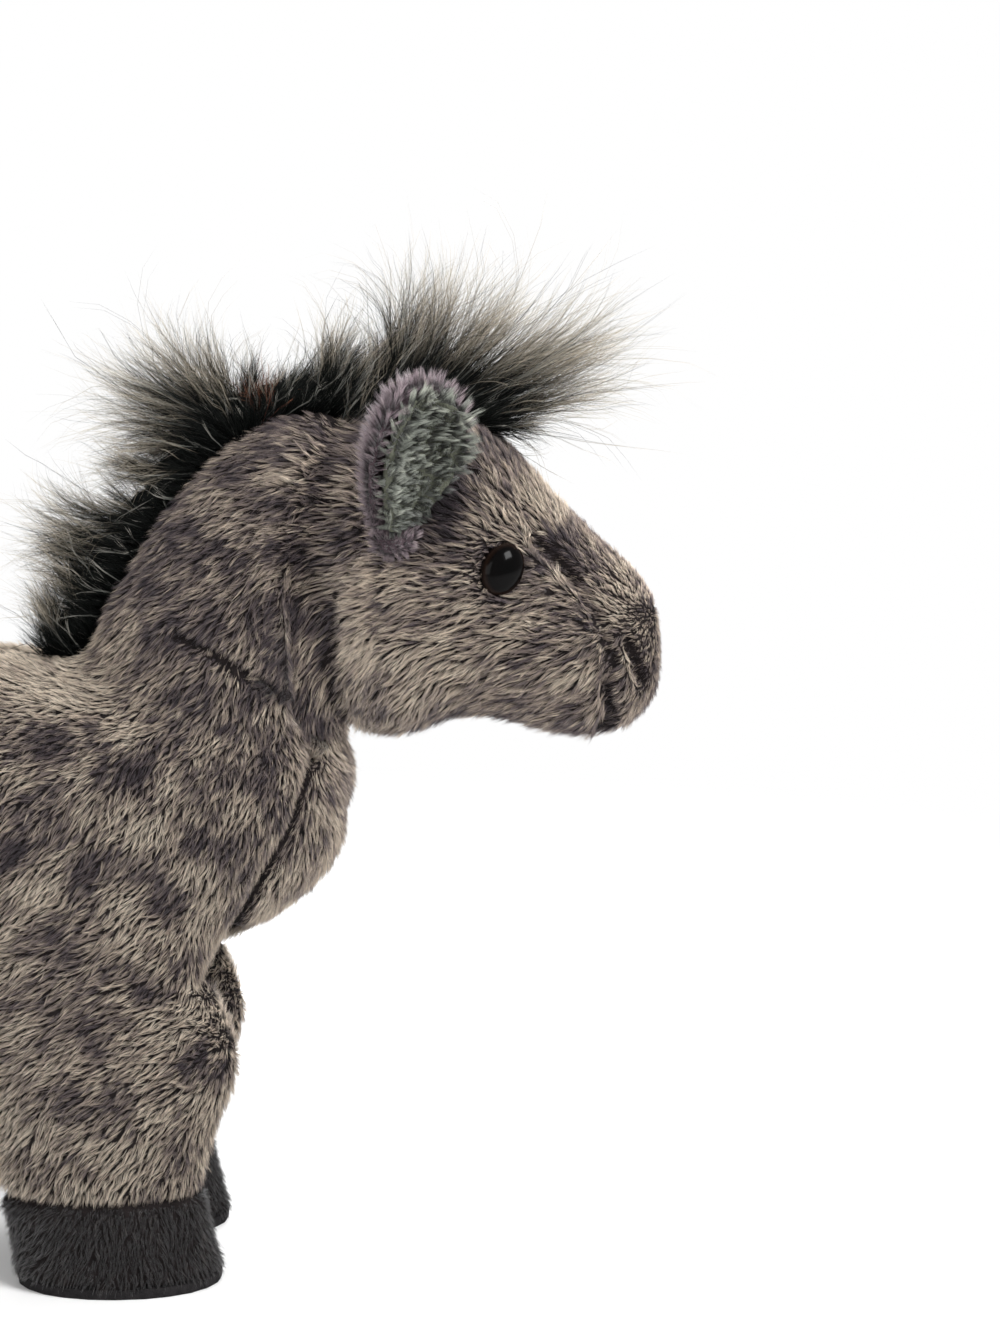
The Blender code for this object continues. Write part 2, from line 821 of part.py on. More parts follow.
def leaf_layer(name, front, back, shrink):
    """One layer of an ear between two depths, a cupped leaf narrower by shrink all round."""
    bm = bmesh.new()
    sheets = []
    for depth in (front, back):
        rows = []
        for up, half, cup in EAR_ROW_SHARES:
            row = []
            for column in EAR_COLUMN_SHARES:
                x = column * (half * EAR_WIDTH - shrink)
                y = depth + cup * EAR_CUP * column * column
                z = up * (EAR_LENGTH - shrink) + shrink / 2
                row.append(bm.verts.new((x, y, z)))
            rows.append(row)
        sheets.append(rows)
    for rows in sheets:
        for low, high in zip(rows, rows[1:]):
            for i in range(len(low) - 1):
                bm.faces.new((low[i], low[i + 1], high[i + 1], high[i]))
    first, second = sheets
    rim_first = border(first)
    rim_second = border(second)
    for i in range(len(rim_first)):
        j = (i + 1) % len(rim_first)
        bm.faces.new((rim_first[i], rim_first[j], rim_second[j], rim_second[i]))
    return subdivide(mesh_from_bmesh(name, bm, GUIDES), 1)


def spindle(name, radius, half_length):
    """A plump root that is round about X."""
    bm = bmesh.new()
    bmesh.ops.create_uvsphere(bm, u_segments=14, v_segments=8, radius=1)
    place = Matrix.Diagonal((radius, radius, half_length, 1))
    bmesh.ops.transform(bm, matrix=Matrix.Rotation(math.pi / 2, 4, "Y") @ place, verts=bm.verts)
    return as_guide(mesh_from_bmesh(name, bm, GUIDES))


def border(rows):
    """The outline of a grid of vertices, in order."""
    right = [row[-1] for row in rows[1:-1]]
    left = [row[0] for row in reversed(rows[1:-1])]
    return rows[0] + right + list(reversed(rows[-1])) + left


def make_ear(side, side_name, head):
    frame = ear_frame(side)
    back_form = leaf_layer(f"ear_back_form_{side_name}", 0.0, -EAR_LAYER, 0.0)
    lining_form = leaf_layer(
        f"ear_lining_form_{side_name}", EAR_LAYER + SEAM_GAP, SEAM_GAP, EAR_LAYER / 2
    )
    outer = baked(f"ear_outer_{side_name}", back_form, PARTS)
    liner = baked(f"ear_liner_{side_name}", lining_form, PARTS)
    as_guide(back_form)
    as_guide(lining_form)
    for fold in (-EAR_FOLD_OUT, 0.0, EAR_FOLD_IN):
        swept = head_form(f"ear_sweep_{side_name}", SEAM_GAP)
        swept.matrix_world = Matrix.Rotation(-fold, 4, "X") @ frame.inverted()
        boolean(outer, "DIFFERENCE", swept)
        boolean(liner, "DIFFERENCE", swept)
    roll = spindle(f"ear_roll_{side_name}", EAR_ROLL_RADIUS, EAR_ROLL_HALF)
    groove = spindle(
        f"ear_groove_{side_name}", EAR_ROLL_RADIUS + SEAM_GAP, EAR_ROLL_HALF + SEAM_GAP
    )
    roll_clear = spindle(
        f"ear_roll_clear_{side_name}", EAR_ROLL_RADIUS + SEAM_GAP, EAR_ROLL_HALF + SEAM_GAP
    )
    boolean(outer, "UNION", roll)
    boolean(liner, "DIFFERENCE", roll_clear)
    for obj in (outer, liner, roll, groove, roll_clear):
        obj.matrix_world = frame
    boolean(head, "DIFFERENCE", groove)
    finish(outer, COAT_DARK, 0.9)
    finish(liner, EAR_LINING, 0.95)


# Mane, forelock and tail


def add_locks(obj, locks):
    """Joins tapered locks of pile to a strip. Each is a root, a direction, a bend, a length, a radius."""
    for root, direction, bend, length, radius in locks:
        rings = []
        for along, thick in LOCK_RING_SHARES:
            centre = root + direction * (length * along) + bend * (length * along * along)
            heading = (direction + bend * (2 * along)).normalized()
            across = heading.cross(ACROSS).normalized()
            other = heading.cross(across)
            rings.append([
                centre + (across * math.cos(turn) + other * math.sin(turn)) * (radius * thick)
                for turn in (math.tau * i / LOCK_SIDES for i in range(LOCK_SIDES))
            ])
        lock = loft("lock", rings, GUIDES)
        boolean(obj, "UNION", lock)
        bpy.data.objects.remove(lock, do_unlink=True)
    return obj


def crest_point(tree, angle):
    """Where a ray from the mane's hub at this angle leaves the neck."""
    ray = Vector((math.cos(angle), 0, math.sin(angle)))
    start = Vector((MANE_HUB_X, 0, MANE_HUB_Z)) + ray * HUB_REACH
    return tree.ray_cast(start, -ray)[0], ray


def make_mane():
    """The strip along the crest, with three rows of locks that fan out from it."""
    tree = surface_tree(bpy.data.objects["neck_surface"])
    span = MANE_START - MANE_END
    outline = [(MANE_HUB_X, MANE_HUB_Z)]
    arc_steps = 12
    for i in range(arc_steps + 1):
        angle = MANE_END + span * i / arc_steps
        outline.append((
            MANE_HUB_X + HUB_REACH * math.cos(angle), MANE_HUB_Z + HUB_REACH * math.sin(angle)
        ))
    band = side_prism("mane_band", outline, STRIP_HALF_WIDTH)
    mane = baked("mane", neck_form("mane_strip_form", SEAM_GAP + STRIP_THICKNESS), PARTS)
    boolean(mane, "INTERSECT", band)
    fin = []
    margin = CREST_DEPTH / HUB_REACH
    for i, (lean, long) in enumerate(MANE_LOCK_SHARES):
        angle = MANE_START - margin - (span - 2 * margin) * i / (len(MANE_LOCK_SHARES) - 1)
        root, ray = crest_point(tree, angle)
        height = CREST_HEIGHT * long
        fin.append([
            root - ray * CREST_DEPTH + ACROSS * STRIP_HALF_WIDTH,
            root + ray * (height * 0.55) + ACROSS * (STRIP_HALF_WIDTH * 1.35),
            root + ray * height + Vector((ray.z, 0, -ray.x)) * (height * lean * 0.5),
            root + ray * (height * 0.55) - ACROSS * (STRIP_HALF_WIDTH * 1.35),
            root - ray * CREST_DEPTH - ACROSS * STRIP_HALF_WIDTH,
        ])
    boolean(mane, "UNION", as_guide(loft("mane_crest", fin, GUIDES)))
    locks = []
    margin = LOCK_RADIUS / HUB_REACH * 1.5
    last = len(MANE_LOCK_SHARES) - 1
    for i, (lean, long) in enumerate(MANE_LOCK_SHARES):
        for row in (-1, 0, 1):
            angle = MANE_START - margin - (span - 2 * margin) * i / last
            root, ray = crest_point(tree, angle)
            root = root + ACROSS * (row * STRIP_HALF_WIDTH * 0.55)
            tangent = Vector((ray.z, 0, -ray.x))
            direction = (ray + tangent * (lean * 0.6) + ACROSS * (row * 0.30)).normalized()
            bend = tangent * (lean * 0.5) + ACROSS * (row * 0.10)
            length = LOCK_LENGTH * long * (1 - 0.10 * abs(row))
            locks.append((root, direction, bend, length, LOCK_RADIUS))
    add_locks(mane, locks)
    boolean(mane, "DIFFERENCE", baked_guide("mane_under", neck_form("mane_under_form", SEAM_GAP)))
    return finish(mane, MANE_DARK, 0.8)


def baked_guide(name, form):
    return as_guide(baked(name, form, GUIDES))


def make_forelock():
    """The front end of the strip, on the head between the ears."""
    tree = surface_tree(bpy.data.objects["head_surface"])
    top = HEAD_MID_Z + HEAD_HEIGHT
    low = HEAD_MID_Z + HEAD_HEIGHT * 0.25
    outline = [
        (FORELOCK_BACK_X, low), (FORELOCK_FRONT_X, low), (FORELOCK_FRONT_X, top), (FORELOCK_BACK_X, top)
    ]
    band = side_prism("forelock_band", outline, STRIP_HALF_WIDTH)
    forelock = baked("forelock", head_form("forelock_strip_form", SEAM_GAP + STRIP_THICKNESS), PARTS)
    boolean(forelock, "INTERSECT", band)
    locks = []
    for i in range(FORELOCK_STATIONS):
        share = i / (FORELOCK_STATIONS - 1)
        x = FORELOCK_BACK_X + LOCK_RADIUS * 1.3
        x += (FORELOCK_FRONT_X - FORELOCK_BACK_X - LOCK_RADIUS * 2.6) * share
        for row in (-1, 0, 1):
            root = tree.ray_cast(Vector((x, 0, top)), -UP)[0]
            root = root + ACROSS * (row * STRIP_HALF_WIDTH * 0.55)
            forward = AHEAD * (0.28 + 0.60 * share)
            direction = (UP + forward + ACROSS * (row * 0.30)).normalized()
            bend = AHEAD * (0.12 + 0.30 * share) - UP * (0.22 * share)
            length = LOCK_LENGTH * (1.0 - 0.10 * abs(row))
            locks.append((root, direction, bend, length, LOCK_RADIUS))
    add_locks(forelock, locks)
    under = baked_guide("forelock_under", head_form("forelock_under_form", SEAM_GAP))
    boolean(forelock, "DIFFERENCE", under)
    return finish(forelock, MANE_DARK, 0.8)


# Rings of the tail, root to tip: place along it, how far back, half depth and half width
TAIL_RING_SHARES = (
    (0.00, 0.05, 0.22, 0.16),
    (0.07, 0.10, 0.38, 0.30),
    (0.20, 0.30, 0.46, 0.42),
    (0.42, 0.62, 0.48, 0.50),
    (0.65, 0.72, 0.44, 0.46),
    (0.84, 0.74, 0.30, 0.32),
    (0.94, 0.74, 0.12, 0.14),
)


def make_tail(torso):
    """A tab that sways in the rump seam, and the hanging locks that lift about it."""
    pivot = Vector((TAIL_X, 0, TAIL_Z))
    bm = bmesh.new()
    bmesh.ops.create_uvsphere(bm, u_segments=14, v_segments=9, radius=DOCK_RADIUS)
    dock = finish(mesh_from_bmesh("tail_dock", bm, PARTS), MANE_DARK, 0.8)
    dock.location = pivot
    bm = bmesh.new()
    bmesh.ops.create_uvsphere(bm, u_segments=16, v_segments=10, radius=DOCK_RADIUS + JOINT_GAP)
    socket = as_guide(mesh_from_bmesh("tail_socket", bm, GUIDES))
    socket.location = pivot
    boolean(torso, "DIFFERENCE", socket)
    rings = []
    root = pivot - AHEAD * (DOCK_RADIUS * 0.62)
    for along, back, half_depth, half_width in TAIL_RING_SHARES:
        centre = root - AHEAD * (back * TAIL_THICKNESS) + UP * (DOCK_RADIUS * 0.9 - along * TAIL_LENGTH)
        rings.append(ring_points(
            centre, -AHEAD, ACROSS, half_depth * TAIL_THICKNESS, half_width * TAIL_WIDTH, TAIL_SIDES
        ))
    form = subdivide(loft("tail_form", rings, GUIDES), 1)
    tail = baked("tail", as_guide(form), PARTS)
    middle = root - AHEAD * (0.73 * TAIL_THICKNESS)
    locks = []
    for i in range(TAIL_LOCKS):
        angle = math.tau * i / TAIL_LOCKS
        out = -AHEAD * (math.cos(angle) * TAIL_THICKNESS) + ACROSS * (math.sin(angle) * TAIL_WIDTH)
        start = middle + out * 0.22 - UP * (TAIL_LENGTH * (0.52 + 0.06 * (i % 2)))
        direction = (-UP + out.normalized() * 0.12).normalized()
        locks.append((start, direction, -out.normalized() * 0.10, TAIL_LENGTH * 0.42, LOCK_RADIUS))
    add_locks(tail, locks)
    boolean(tail, "DIFFERENCE", socket)
    return finish(tail, MANE_DARK, 0.8)


# Panels that show their seams


def gusset_outline(extra):
    """Half outline of the chest and belly gusset from above, as (x, half width)."""
    rear_x = HINDLEG_X - LEG_THICKNESS * 0.37
    fore_x = FORELEG_X - LEG_THICKNESS * 0.54
    hind_x = HINDLEG_X + LEG_THICKNESS * 0.58
    taper = (fore_x - hind_x) * 0.3
    return [
        (CHEST_X + CUT_OVERRUN, GUSSET_CHEST_HALF),
        (CHEST_X - TRUNK_LENGTH * 0.13, GUSSET_CHEST_HALF * 0.92),
        (FORELEG_X + LEG_THICKNESS * 0.44, GUSSET_LEG_HALF),
        (fore_x, GUSSET_LEG_HALF),
        (fore_x - taper, GUSSET_BELLY_HALF),
        (hind_x + taper, GUSSET_BELLY_HALF),
        (hind_x, GUSSET_LEG_HALF),
        (rear_x - extra, GUSSET_REAR_HALF),
    ]


def make_belly_gusset(torso):
    """The panel from throat to tail, one fabric thick, let into the trunk."""
    for name, extra, gap in (("belly_gusset", 0.0, 0.0), ("belly_gusset_recess", SEAM_GAP, SEAM_GAP)):
        half = gusset_outline(extra)
        outline = [(x, y + gap) for x, y in half] + [(x, -y - gap) for x, y in reversed(half)]
        prism = plan_prism(name + "_prism", outline, 0.0, GUSSET_TOP_Z + gap)
        inner = baked_guide(name + "_inner", trunk_form(name + "_inner_form", -FABRIC - gap))
        if gap:
            recess = as_guide(boolean(prism, "DIFFERENCE", inner))
            boolean(torso, "DIFFERENCE", recess)
            continue
        panel = baked(name, trunk_form(name + "_form"), PARTS)
        boolean(panel, "INTERSECT", prism)
        boolean(panel, "DIFFERENCE", inner)
        finish(panel, COAT, 0.9)
    return panel


def face_seam(gap):
    """Side outline of the forehead, nose and chin gusset, back seam first."""
    seam = [
        (HEAD_BACK_X + x * HEAD_LENGTH - gap, HEAD_MID_Z + z * HEAD_HEIGHT)
        for x, z in FACE_SEAM_SHARES
    ]
    front = NOSE_X + HEAD_LENGTH * 0.1
    return seam + [(front, seam[-1][1]), (front, seam[0][1])]


def make_nose_gusset(head):
    """The panel over forehead, nose and chin, one fabric thick, let into the head."""
    inner = baked_guide("nose_inner", head_form("nose_inner_form", -FABRIC))
    prism = side_prism("nose_prism", face_seam(0.0), HEAD_WIDTH)
    panel = baked("nose_gusset", head_form("nose_form"), PARTS)
    boolean(panel, "INTERSECT", prism)
    boolean(panel, "DIFFERENCE", inner)
    inner_wide = baked_guide("nose_recess_inner", head_form("nose_recess_form", -FABRIC - SEAM_GAP))
    recess = side_prism("nose_recess", face_seam(SEAM_GAP), HEAD_WIDTH)
    boolean(recess, "DIFFERENCE", inner_wide)
    boolean(head, "DIFFERENCE", recess)
    return finish(panel, COAT, 0.9)


def make_pellet_bag(torso):
    """A soft bag of pellets behind the belly gusset, in a pocket that the gusset closes."""
    floor = trunk_floor(BAG_X) + FABRIC + 2 * SEAM_GAP
    centre = Vector((BAG_X, 0, floor + BAG_HEIGHT / 2))
    for name, gap, collection in (("pellet_bag", 0.0, PARTS), ("pellet_pocket", SEAM_GAP, GUIDES)):
        bm = bmesh.new()
        bmesh.ops.create_cube(bm, size=1)
        bmesh.ops.scale(bm, vec=(BAG_LENGTH, BAG_WIDTH, BAG_HEIGHT), verts=bm.verts)
        bmesh.ops.translate(bm, vec=centre, verts=bm.verts)
        form = swell(subdivide(mesh_from_bmesh(name + "_form", bm, GUIDES), 2), gap)
        bag = baked(name, as_guide(form), collection)
        if collection is PARTS:
            finish(bag, BAG_CLOTH, 0.9)
            continue
        as_guide(bag)
        mouth = box(
            "pellet_mouth",
            (BAG_X - BAG_LENGTH / 8, -BAG_WIDTH / 5, floor - FABRIC * 3),
            (BAG_X + BAG_LENGTH / 8, BAG_WIDTH / 5, centre.z),
        )
        boolean(torso, "DIFFERENCE", bag)
        boolean(torso, "DIFFERENCE", mouth)


def trunk_floor(x):
    """Height of the trunk's underside at this place."""
    tree = surface_tree(bpy.data.objects["trunk_surface"])
    return tree.ray_cast(Vector((x, 0, 0)), UP)[0].z


# Assembly


def make_head():
    """The head, with a hollow seat at the back that is round about the turning axis."""
    as_guide(baked("head_surface", head_form("head_surface_form"), GUIDES))
    head = baked("head", head_form("head_form"), PARTS)
    seat = drum("head_seat", (TURN_X, 0, HEAD_MID_Z), UP, TURN_RADIUS, FAR)
    boolean(head, "DIFFERENCE", seat)
    make_nose_gusset(head)
    make_eyes(head)
    for side, side_name in ((-1, "right"), (1, "left")):
        make_ear(side, side_name, head)
    make_forelock()
    finish(head, COAT, 0.9)


def make_neck():
    """The neck, hollow below over the shoulders and round in front under the head."""
    as_guide(baked("neck_surface", neck_form("neck_surface_form"), GUIDES))
    neck = baked("neck", neck_form("neck_form"), PARTS)
    pivot = (NECK_PIVOT_X, NECK_PIVOT_Z)
    hollow = arc_points(pivot, NECK_RADIUS, NECK_LIP_ANGLE, math.pi - NECK_LIP_ANGLE, ROUND_STEPS // 2)
    corner = hollow[-1]
    outline = hollow + [(-FAR, corner[1]), (-FAR, 0.0), (FAR, 0.0), polar(pivot, FAR, NECK_LIP_ANGLE)]
    boolean(neck, "DIFFERENCE", side_prism("neck_seat", outline, FAR))
    turn = (TURN_X, 0)
    wrap = HEAD_WRAP + HEAD_TURN
    room = arc_points(turn, TURN_RADIUS - JOINT_GAP, -wrap, wrap, ROUND_STEPS // 2)
    room += [polar(turn, FAR, wrap), (TURN_X + FAR, FAR), (TURN_X + FAR, -FAR), polar(turn, FAR, -wrap)]
    boolean(neck, "DIFFERENCE", plan_prism("head_room", room, 0.0, 2 * FAR))
    finish(neck, COAT, 0.9)
    make_mane()


def neck_room():
    """The room that the neck and the jaw sweep over the trunk, above the round seat."""
    pivot = (NECK_PIVOT_X, NECK_PIVOT_Z)
    start = NECK_LIP_ANGLE - NECK_NOD_DOWN - ANGLE_GAP
    stop = NECK_NAPE_ANGLE + NECK_NOD_UP + ANGLE_GAP
    outline = arc_points(pivot, NECK_RADIUS - JOINT_GAP, start, stop, ROUND_STEPS // 2)
    nape = polar(pivot, NECK_NAPE_REACH, stop)
    outline += [nape, (nape[0], 2 * FAR), (FAR, 2 * FAR), polar(pivot, FAR, start)]
    return side_prism("neck_room", outline, FAR)


def make_torso():
    as_guide(baked("trunk_surface", trunk_form("trunk_surface_form"), GUIDES))
    torso = baked("torso", trunk_form("torso_form"), PARTS)
    for kind, shares, hip_x, side, side_name in LEGS:
        boolean(torso, "UNION", limb_top(f"{kind}top_{side_name}", shares, hip_x, side))
    base = baked_guide("neck_base", neck_form("neck_base_form"))
    boolean(base, "INTERSECT", drum("neck_drum", (NECK_PIVOT_X, 0, NECK_PIVOT_Z), ACROSS, NECK_RADIUS, FAR))
    boolean(torso, "UNION", base)
    room = neck_room()
    boolean(torso, "DIFFERENCE", room)
    for leg in LEGS:
        make_leg(*leg, torso)
    boolean(make_belly_gusset(torso), "DIFFERENCE", room)
    make_pellet_bag(torso)
    make_tail(torso)
    return finish(torso, COAT, 0.9)


# What carries each piece
CARRIERS = (
    ("torso", ("neck", "tail_dock", "belly_gusset", "pellet_bag")),
    ("torso", ("foreleg_right", "foreleg_left", "hindleg_right", "hindleg_left")),
    ("neck", ("head", "mane")),
    ("head", ("nose_gusset", "forelock", "ear_outer_right", "ear_outer_left")),
    ("head", ("eye_right", "eye_left", "eye_washer_right", "eye_washer_left")),
    ("ear_outer_right", ("ear_liner_right",)),
    ("ear_outer_left", ("ear_liner_left",)),
    ("foreleg_right", ("forehoof_right", "foresole_right")),
    ("foreleg_left", ("forehoof_left", "foresole_left")),
    ("hindleg_right", ("hindhoof_right", "hindsole_right")),
    ("hindleg_left", ("hindhoof_left", "hindsole_left")),
    ("tail_dock", ("tail",)),
)


def assemble():
    """Puts the origins on the joints' axes and hangs each piece on the one that carries it."""
    neck_pivot = (NECK_PIVOT_X, 0, NECK_PIVOT_Z)
    head_pivot = (TURN_X, 0, HEAD_MID_Z)
    tail_pivot = (TAIL_X, 0, TAIL_Z)
    for name, pivot in (
        ("neck", neck_pivot),
        ("mane", neck_pivot),
        ("head", head_pivot),
        ("nose_gusset", head_pivot),
        ("forelock", head_pivot),
        ("tail", tail_pivot),
    ):
        set_origin(PARTS.objects[name], pivot)
    bpy.context.view_layer.update()
    for carrier_name, names in CARRIERS:
        carrier = PARTS.objects[carrier_name]
        for name in names:
            piece = PARTS.objects[name]
            piece.parent = carrier
            piece.matrix_parent_inverse = carrier.matrix_world.inverted()


make_head()
make_neck()
make_torso()
assemble()
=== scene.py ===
import math

import bmesh
import bpy
import numpy as np
from mathutils import Matrix, Vector, noise
from mathutils.bvhtree import BVHTree
from mathutils.kdtree import KDTree


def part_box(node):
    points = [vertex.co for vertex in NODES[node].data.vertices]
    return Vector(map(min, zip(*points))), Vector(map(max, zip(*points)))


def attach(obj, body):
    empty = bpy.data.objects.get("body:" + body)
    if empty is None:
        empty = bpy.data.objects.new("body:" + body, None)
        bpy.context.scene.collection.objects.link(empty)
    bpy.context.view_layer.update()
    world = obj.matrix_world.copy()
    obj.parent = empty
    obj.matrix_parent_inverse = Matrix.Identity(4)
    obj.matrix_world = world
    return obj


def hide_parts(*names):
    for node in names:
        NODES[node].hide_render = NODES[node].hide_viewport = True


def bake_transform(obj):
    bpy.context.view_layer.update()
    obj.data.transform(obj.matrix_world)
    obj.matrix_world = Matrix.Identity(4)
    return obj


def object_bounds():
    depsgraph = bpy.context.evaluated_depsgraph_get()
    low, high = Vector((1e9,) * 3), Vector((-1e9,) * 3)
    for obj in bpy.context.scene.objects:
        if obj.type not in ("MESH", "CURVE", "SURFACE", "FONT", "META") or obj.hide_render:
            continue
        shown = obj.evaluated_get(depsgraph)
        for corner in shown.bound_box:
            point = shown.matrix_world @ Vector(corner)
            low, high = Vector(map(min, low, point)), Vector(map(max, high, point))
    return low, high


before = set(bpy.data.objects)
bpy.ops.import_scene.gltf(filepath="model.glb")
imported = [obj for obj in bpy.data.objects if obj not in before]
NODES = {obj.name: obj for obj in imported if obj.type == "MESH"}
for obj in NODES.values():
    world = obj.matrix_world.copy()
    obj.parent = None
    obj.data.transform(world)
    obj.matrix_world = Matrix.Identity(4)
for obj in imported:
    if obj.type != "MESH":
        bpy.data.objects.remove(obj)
CAD_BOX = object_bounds()
MM = 0.001
RNG = np.random.default_rng(7)

# Backing of the coat: how far it sits inside the solids, what bridges their gaps and what fills them out
BACKING_INSET = 1.5 * MM
HEAD_INSET = 0.3 * MM
COLLAR_INSET = 1.1 * MM
CHEST_PAD = ((36.0, 0.0, 105.0), (15.6, 25.5, 13.5))
CREST_X = (-6, 2, 8, 14, 21, 33, 45, 54)
CREST_LIFT = (0.0, 1.0, 2.0, 3.0, 3.4, 2.6, 1.8, 0.6)
CLOSE_REACH = 3.2 * MM
HEAD_REACH = 0.9 * MM
BODY_VOXEL = 1.4 * MM
HEAD_VOXEL = 1.1 * MM
CLOTH_VOXEL = 4.5 * MM
CLOTH_CAP = 1.6 * MM
CLOTH_FRAMES = 20
BODY_SEAM_DEPTH = 2.2 * MM
HEAD_SEAM_DEPTH = 2.6 * MM
COLLAR_SEAM_DEPTH = 1.2 * MM
COLLAR_EDGE_DEPTH = 1.6 * MM
FACE_DEPTH = 1.2 * MM
SOCKET_DEPTH = 0.5 * MM

# Pile: strands on each square millimetre, their thickness, and the most that one piece holds
DENSITY = 7.6
HAIR_SHARE = 1.0
TAIL_HAIRS = 2600
STRAND_RADIUS = 0.066 * MM
HOOF_PILE_LENGTH = 2.8 * MM
PIECE_STRANDS = 48000
PIECE_TRIANGLES = 190000
CLUMP_CELL = 12 * MM
COVER_REACH = 1.3 * MM
COLLAR_COVER_REACH = 14 * MM
COAT_LIFT = math.radians(23)
HEAD_LIFT = math.radians(20)
COAT_PULL = 0.66
RIDGE_SHARE = 0.50
PILE_TOP = CAD_BOX[1][2] + 15.0 * MM

# Where the coat is divided between the bodies
NECK_LINE = (0.364, 0.0, 0.932)
NECK_START = 108 * MM
LEG_TOP = 60.5 * MM
HOOF_TOP = 20 * MM

# Camera and its place
LOOK_AT = (81.5 * MM, 0.0, 127.4 * MM)
CAMERA_AZIMUTH = -1.5
CAMERA_ELEVATION = 11.0
CAMERA_DISTANCE = 0.90
FRAME_HEIGHT = 0.280
ROOM_LIGHT = 0.55
SHADOW_REACH = (0.18, 0.48)


def view_axes():
    """Right, up and back of the photograph's viewpoint."""
    turn, tilt = math.radians(CAMERA_AZIMUTH), math.radians(CAMERA_ELEVATION)
    right = np.array([math.cos(turn), math.sin(turn), 0.0])
    back = np.array([math.sin(turn) * math.cos(tilt), -math.cos(turn) * math.cos(tilt), math.sin(tilt)])
    return right, np.cross(back, right), back


def side_view(co):
    """Places of the near side as the photograph shows them, x and z in mm. The far side is mirrored."""
    right, up, back = view_axes()
    away = np.stack([co[:, 0], -np.abs(co[:, 1]), co[:, 2]], axis=1) - np.array(LOOK_AT)
    gain = CAMERA_DISTANCE / (CAMERA_DISTANCE - away @ back)
    return (LOOK_AT[0] + away @ right * gain) / MM, (LOOK_AT[2] + away @ up * gain) / MM


def linear(*seen):
    """A colour as it is seen, 0 to 255, in the shader's own scale."""
    shares = [((c / 255 + 0.055) / 1.055) ** 2.4 if c > 10 else c / 255 / 12.92 for c in seen]
    return (*shares, 1.0)


# Materials


class Graph:
    """Adds nodes to a material and links them by name."""

    def __init__(self, name):
        self.material = bpy.data.materials.new(name)
        self.material.use_nodes = True
        self.nodes = self.material.node_tree.nodes
        self.links = self.material.node_tree.links
        self.shader = self.nodes["Principled BSDF"]

    def add(self, kind, **settings):
        node = self.nodes.new(kind)
        for key, value in settings.items():
            if key in node.inputs:
                node.inputs[key].default_value = value
            else:
                setattr(node, key, value)
        return node

    def link(self, source, target):
        self.links.new(source, target)

    def ramp(self, source, stops):
        node = self.nodes.new("ShaderNodeValToRGB")
        band = node.color_ramp
        while len(band.elements) < len(stops):
            band.elements.new(0.5)
        for element, (place, colour) in zip(band.elements, stops):
            element.position = place
            element.color = colour
        self.link(source, node.inputs["Fac"])
        return node.outputs["Color"]

    def noise(self, scale, detail=3.0):
        coords = self.add("ShaderNodeTexCoord")
        node = self.add("ShaderNodeTexNoise", Scale=scale, Detail=detail, Roughness=0.55)
        self.link(coords.outputs["Object"], node.inputs["Vector"])
        return node.outputs["Fac"]

    def bump(self, height, strength, distance):
        node = self.add("ShaderNodeBump", Strength=strength, Distance=distance)
        self.link(height, node.inputs["Height"])
        self.link(node.outputs["Normal"], self.shader.inputs["Normal"])

    def strand_place(self):
        """How far along its strand a place is, and the strand's tone, both from 0 to 1."""
        layout = self.add("ShaderNodeUVMap", uv_map="OFBake")
        split = self.add("ShaderNodeSeparateXYZ")
        self.link(layout.outputs["UV"], split.inputs["Vector"])
        return split.outputs["X"], split.outputs["Y"]

    def colour(self, source):
        self.link(source, self.shader.inputs["Base Color"])

    def finish(self, roughness, sheen=0.0, specular=0.5):
        sockets = self.shader.inputs
        sockets["Roughness"].default_value = roughness
        sockets["Sheen Weight"].default_value = sheen
        sockets["Specular IOR Level"].default_value = specular
        return self.material


def grey(level):
    return (level, level, level, 1.0)


def toned(*stops):
    """Stops of a ramp from places and seen colours."""
    return [(place, linear(*colour)) for place, colour in stops]


ROOT_SHADE = [(0.0, grey(0.08)), (0.36, grey(0.44)), (0.70, grey(1.0))]
# Near-black eye; the brown ring at its rim is a painted glint.
EYE_BLACK_AND_GLINT = toned((0.0, (4, 4, 4)), (0.80, (6, 5, 5)), (0.92, (24, 15, 11)), (1.0, (12, 9, 8)))


def pile_material(name, stops, sheen):
    """Short strands coloured by their tone, darker at the root."""
    graph = Graph(name)
    along, tone = graph.strand_place()
    mix = graph.add("ShaderNodeMix", data_type="RGBA", blend_type="MULTIPLY")
    mix.inputs[0].default_value = 1.0
    graph.link(graph.ramp(tone, stops), mix.inputs[6])
    graph.link(graph.ramp(along, ROOT_SHADE), mix.inputs[7])
    graph.colour(mix.outputs[2])
    return graph.finish(0.62, sheen, 0.3)


def tipped_material(name, roots, tips, reach):
    """Long strands whose colour changes along them, from a root to a tip colour by tone."""
    graph = Graph(name)
    along, tone = graph.strand_place()
    mix = graph.add("ShaderNodeMix", data_type="RGBA")
    graph.link(graph.ramp(along, reach), mix.inputs[0])
    graph.link(graph.ramp(tone, roots), mix.inputs[6])
    graph.link(graph.ramp(tone, tips), mix.inputs[7])
    graph.colour(mix.outputs[2])
    return graph.finish(0.50, specular=0.08)


def backing_material(name, dark, light):
    """The close base of the pile, which shows between the strands."""
    graph = Graph(name)
    graph.colour(graph.ramp(graph.noise(420.0), [(0.30, linear(*dark)), (0.72, linear(*light))]))
    graph.bump(graph.noise(2600.0, 2.0), 0.9, 0.0006)
    return graph.finish(0.95, specular=0.1)


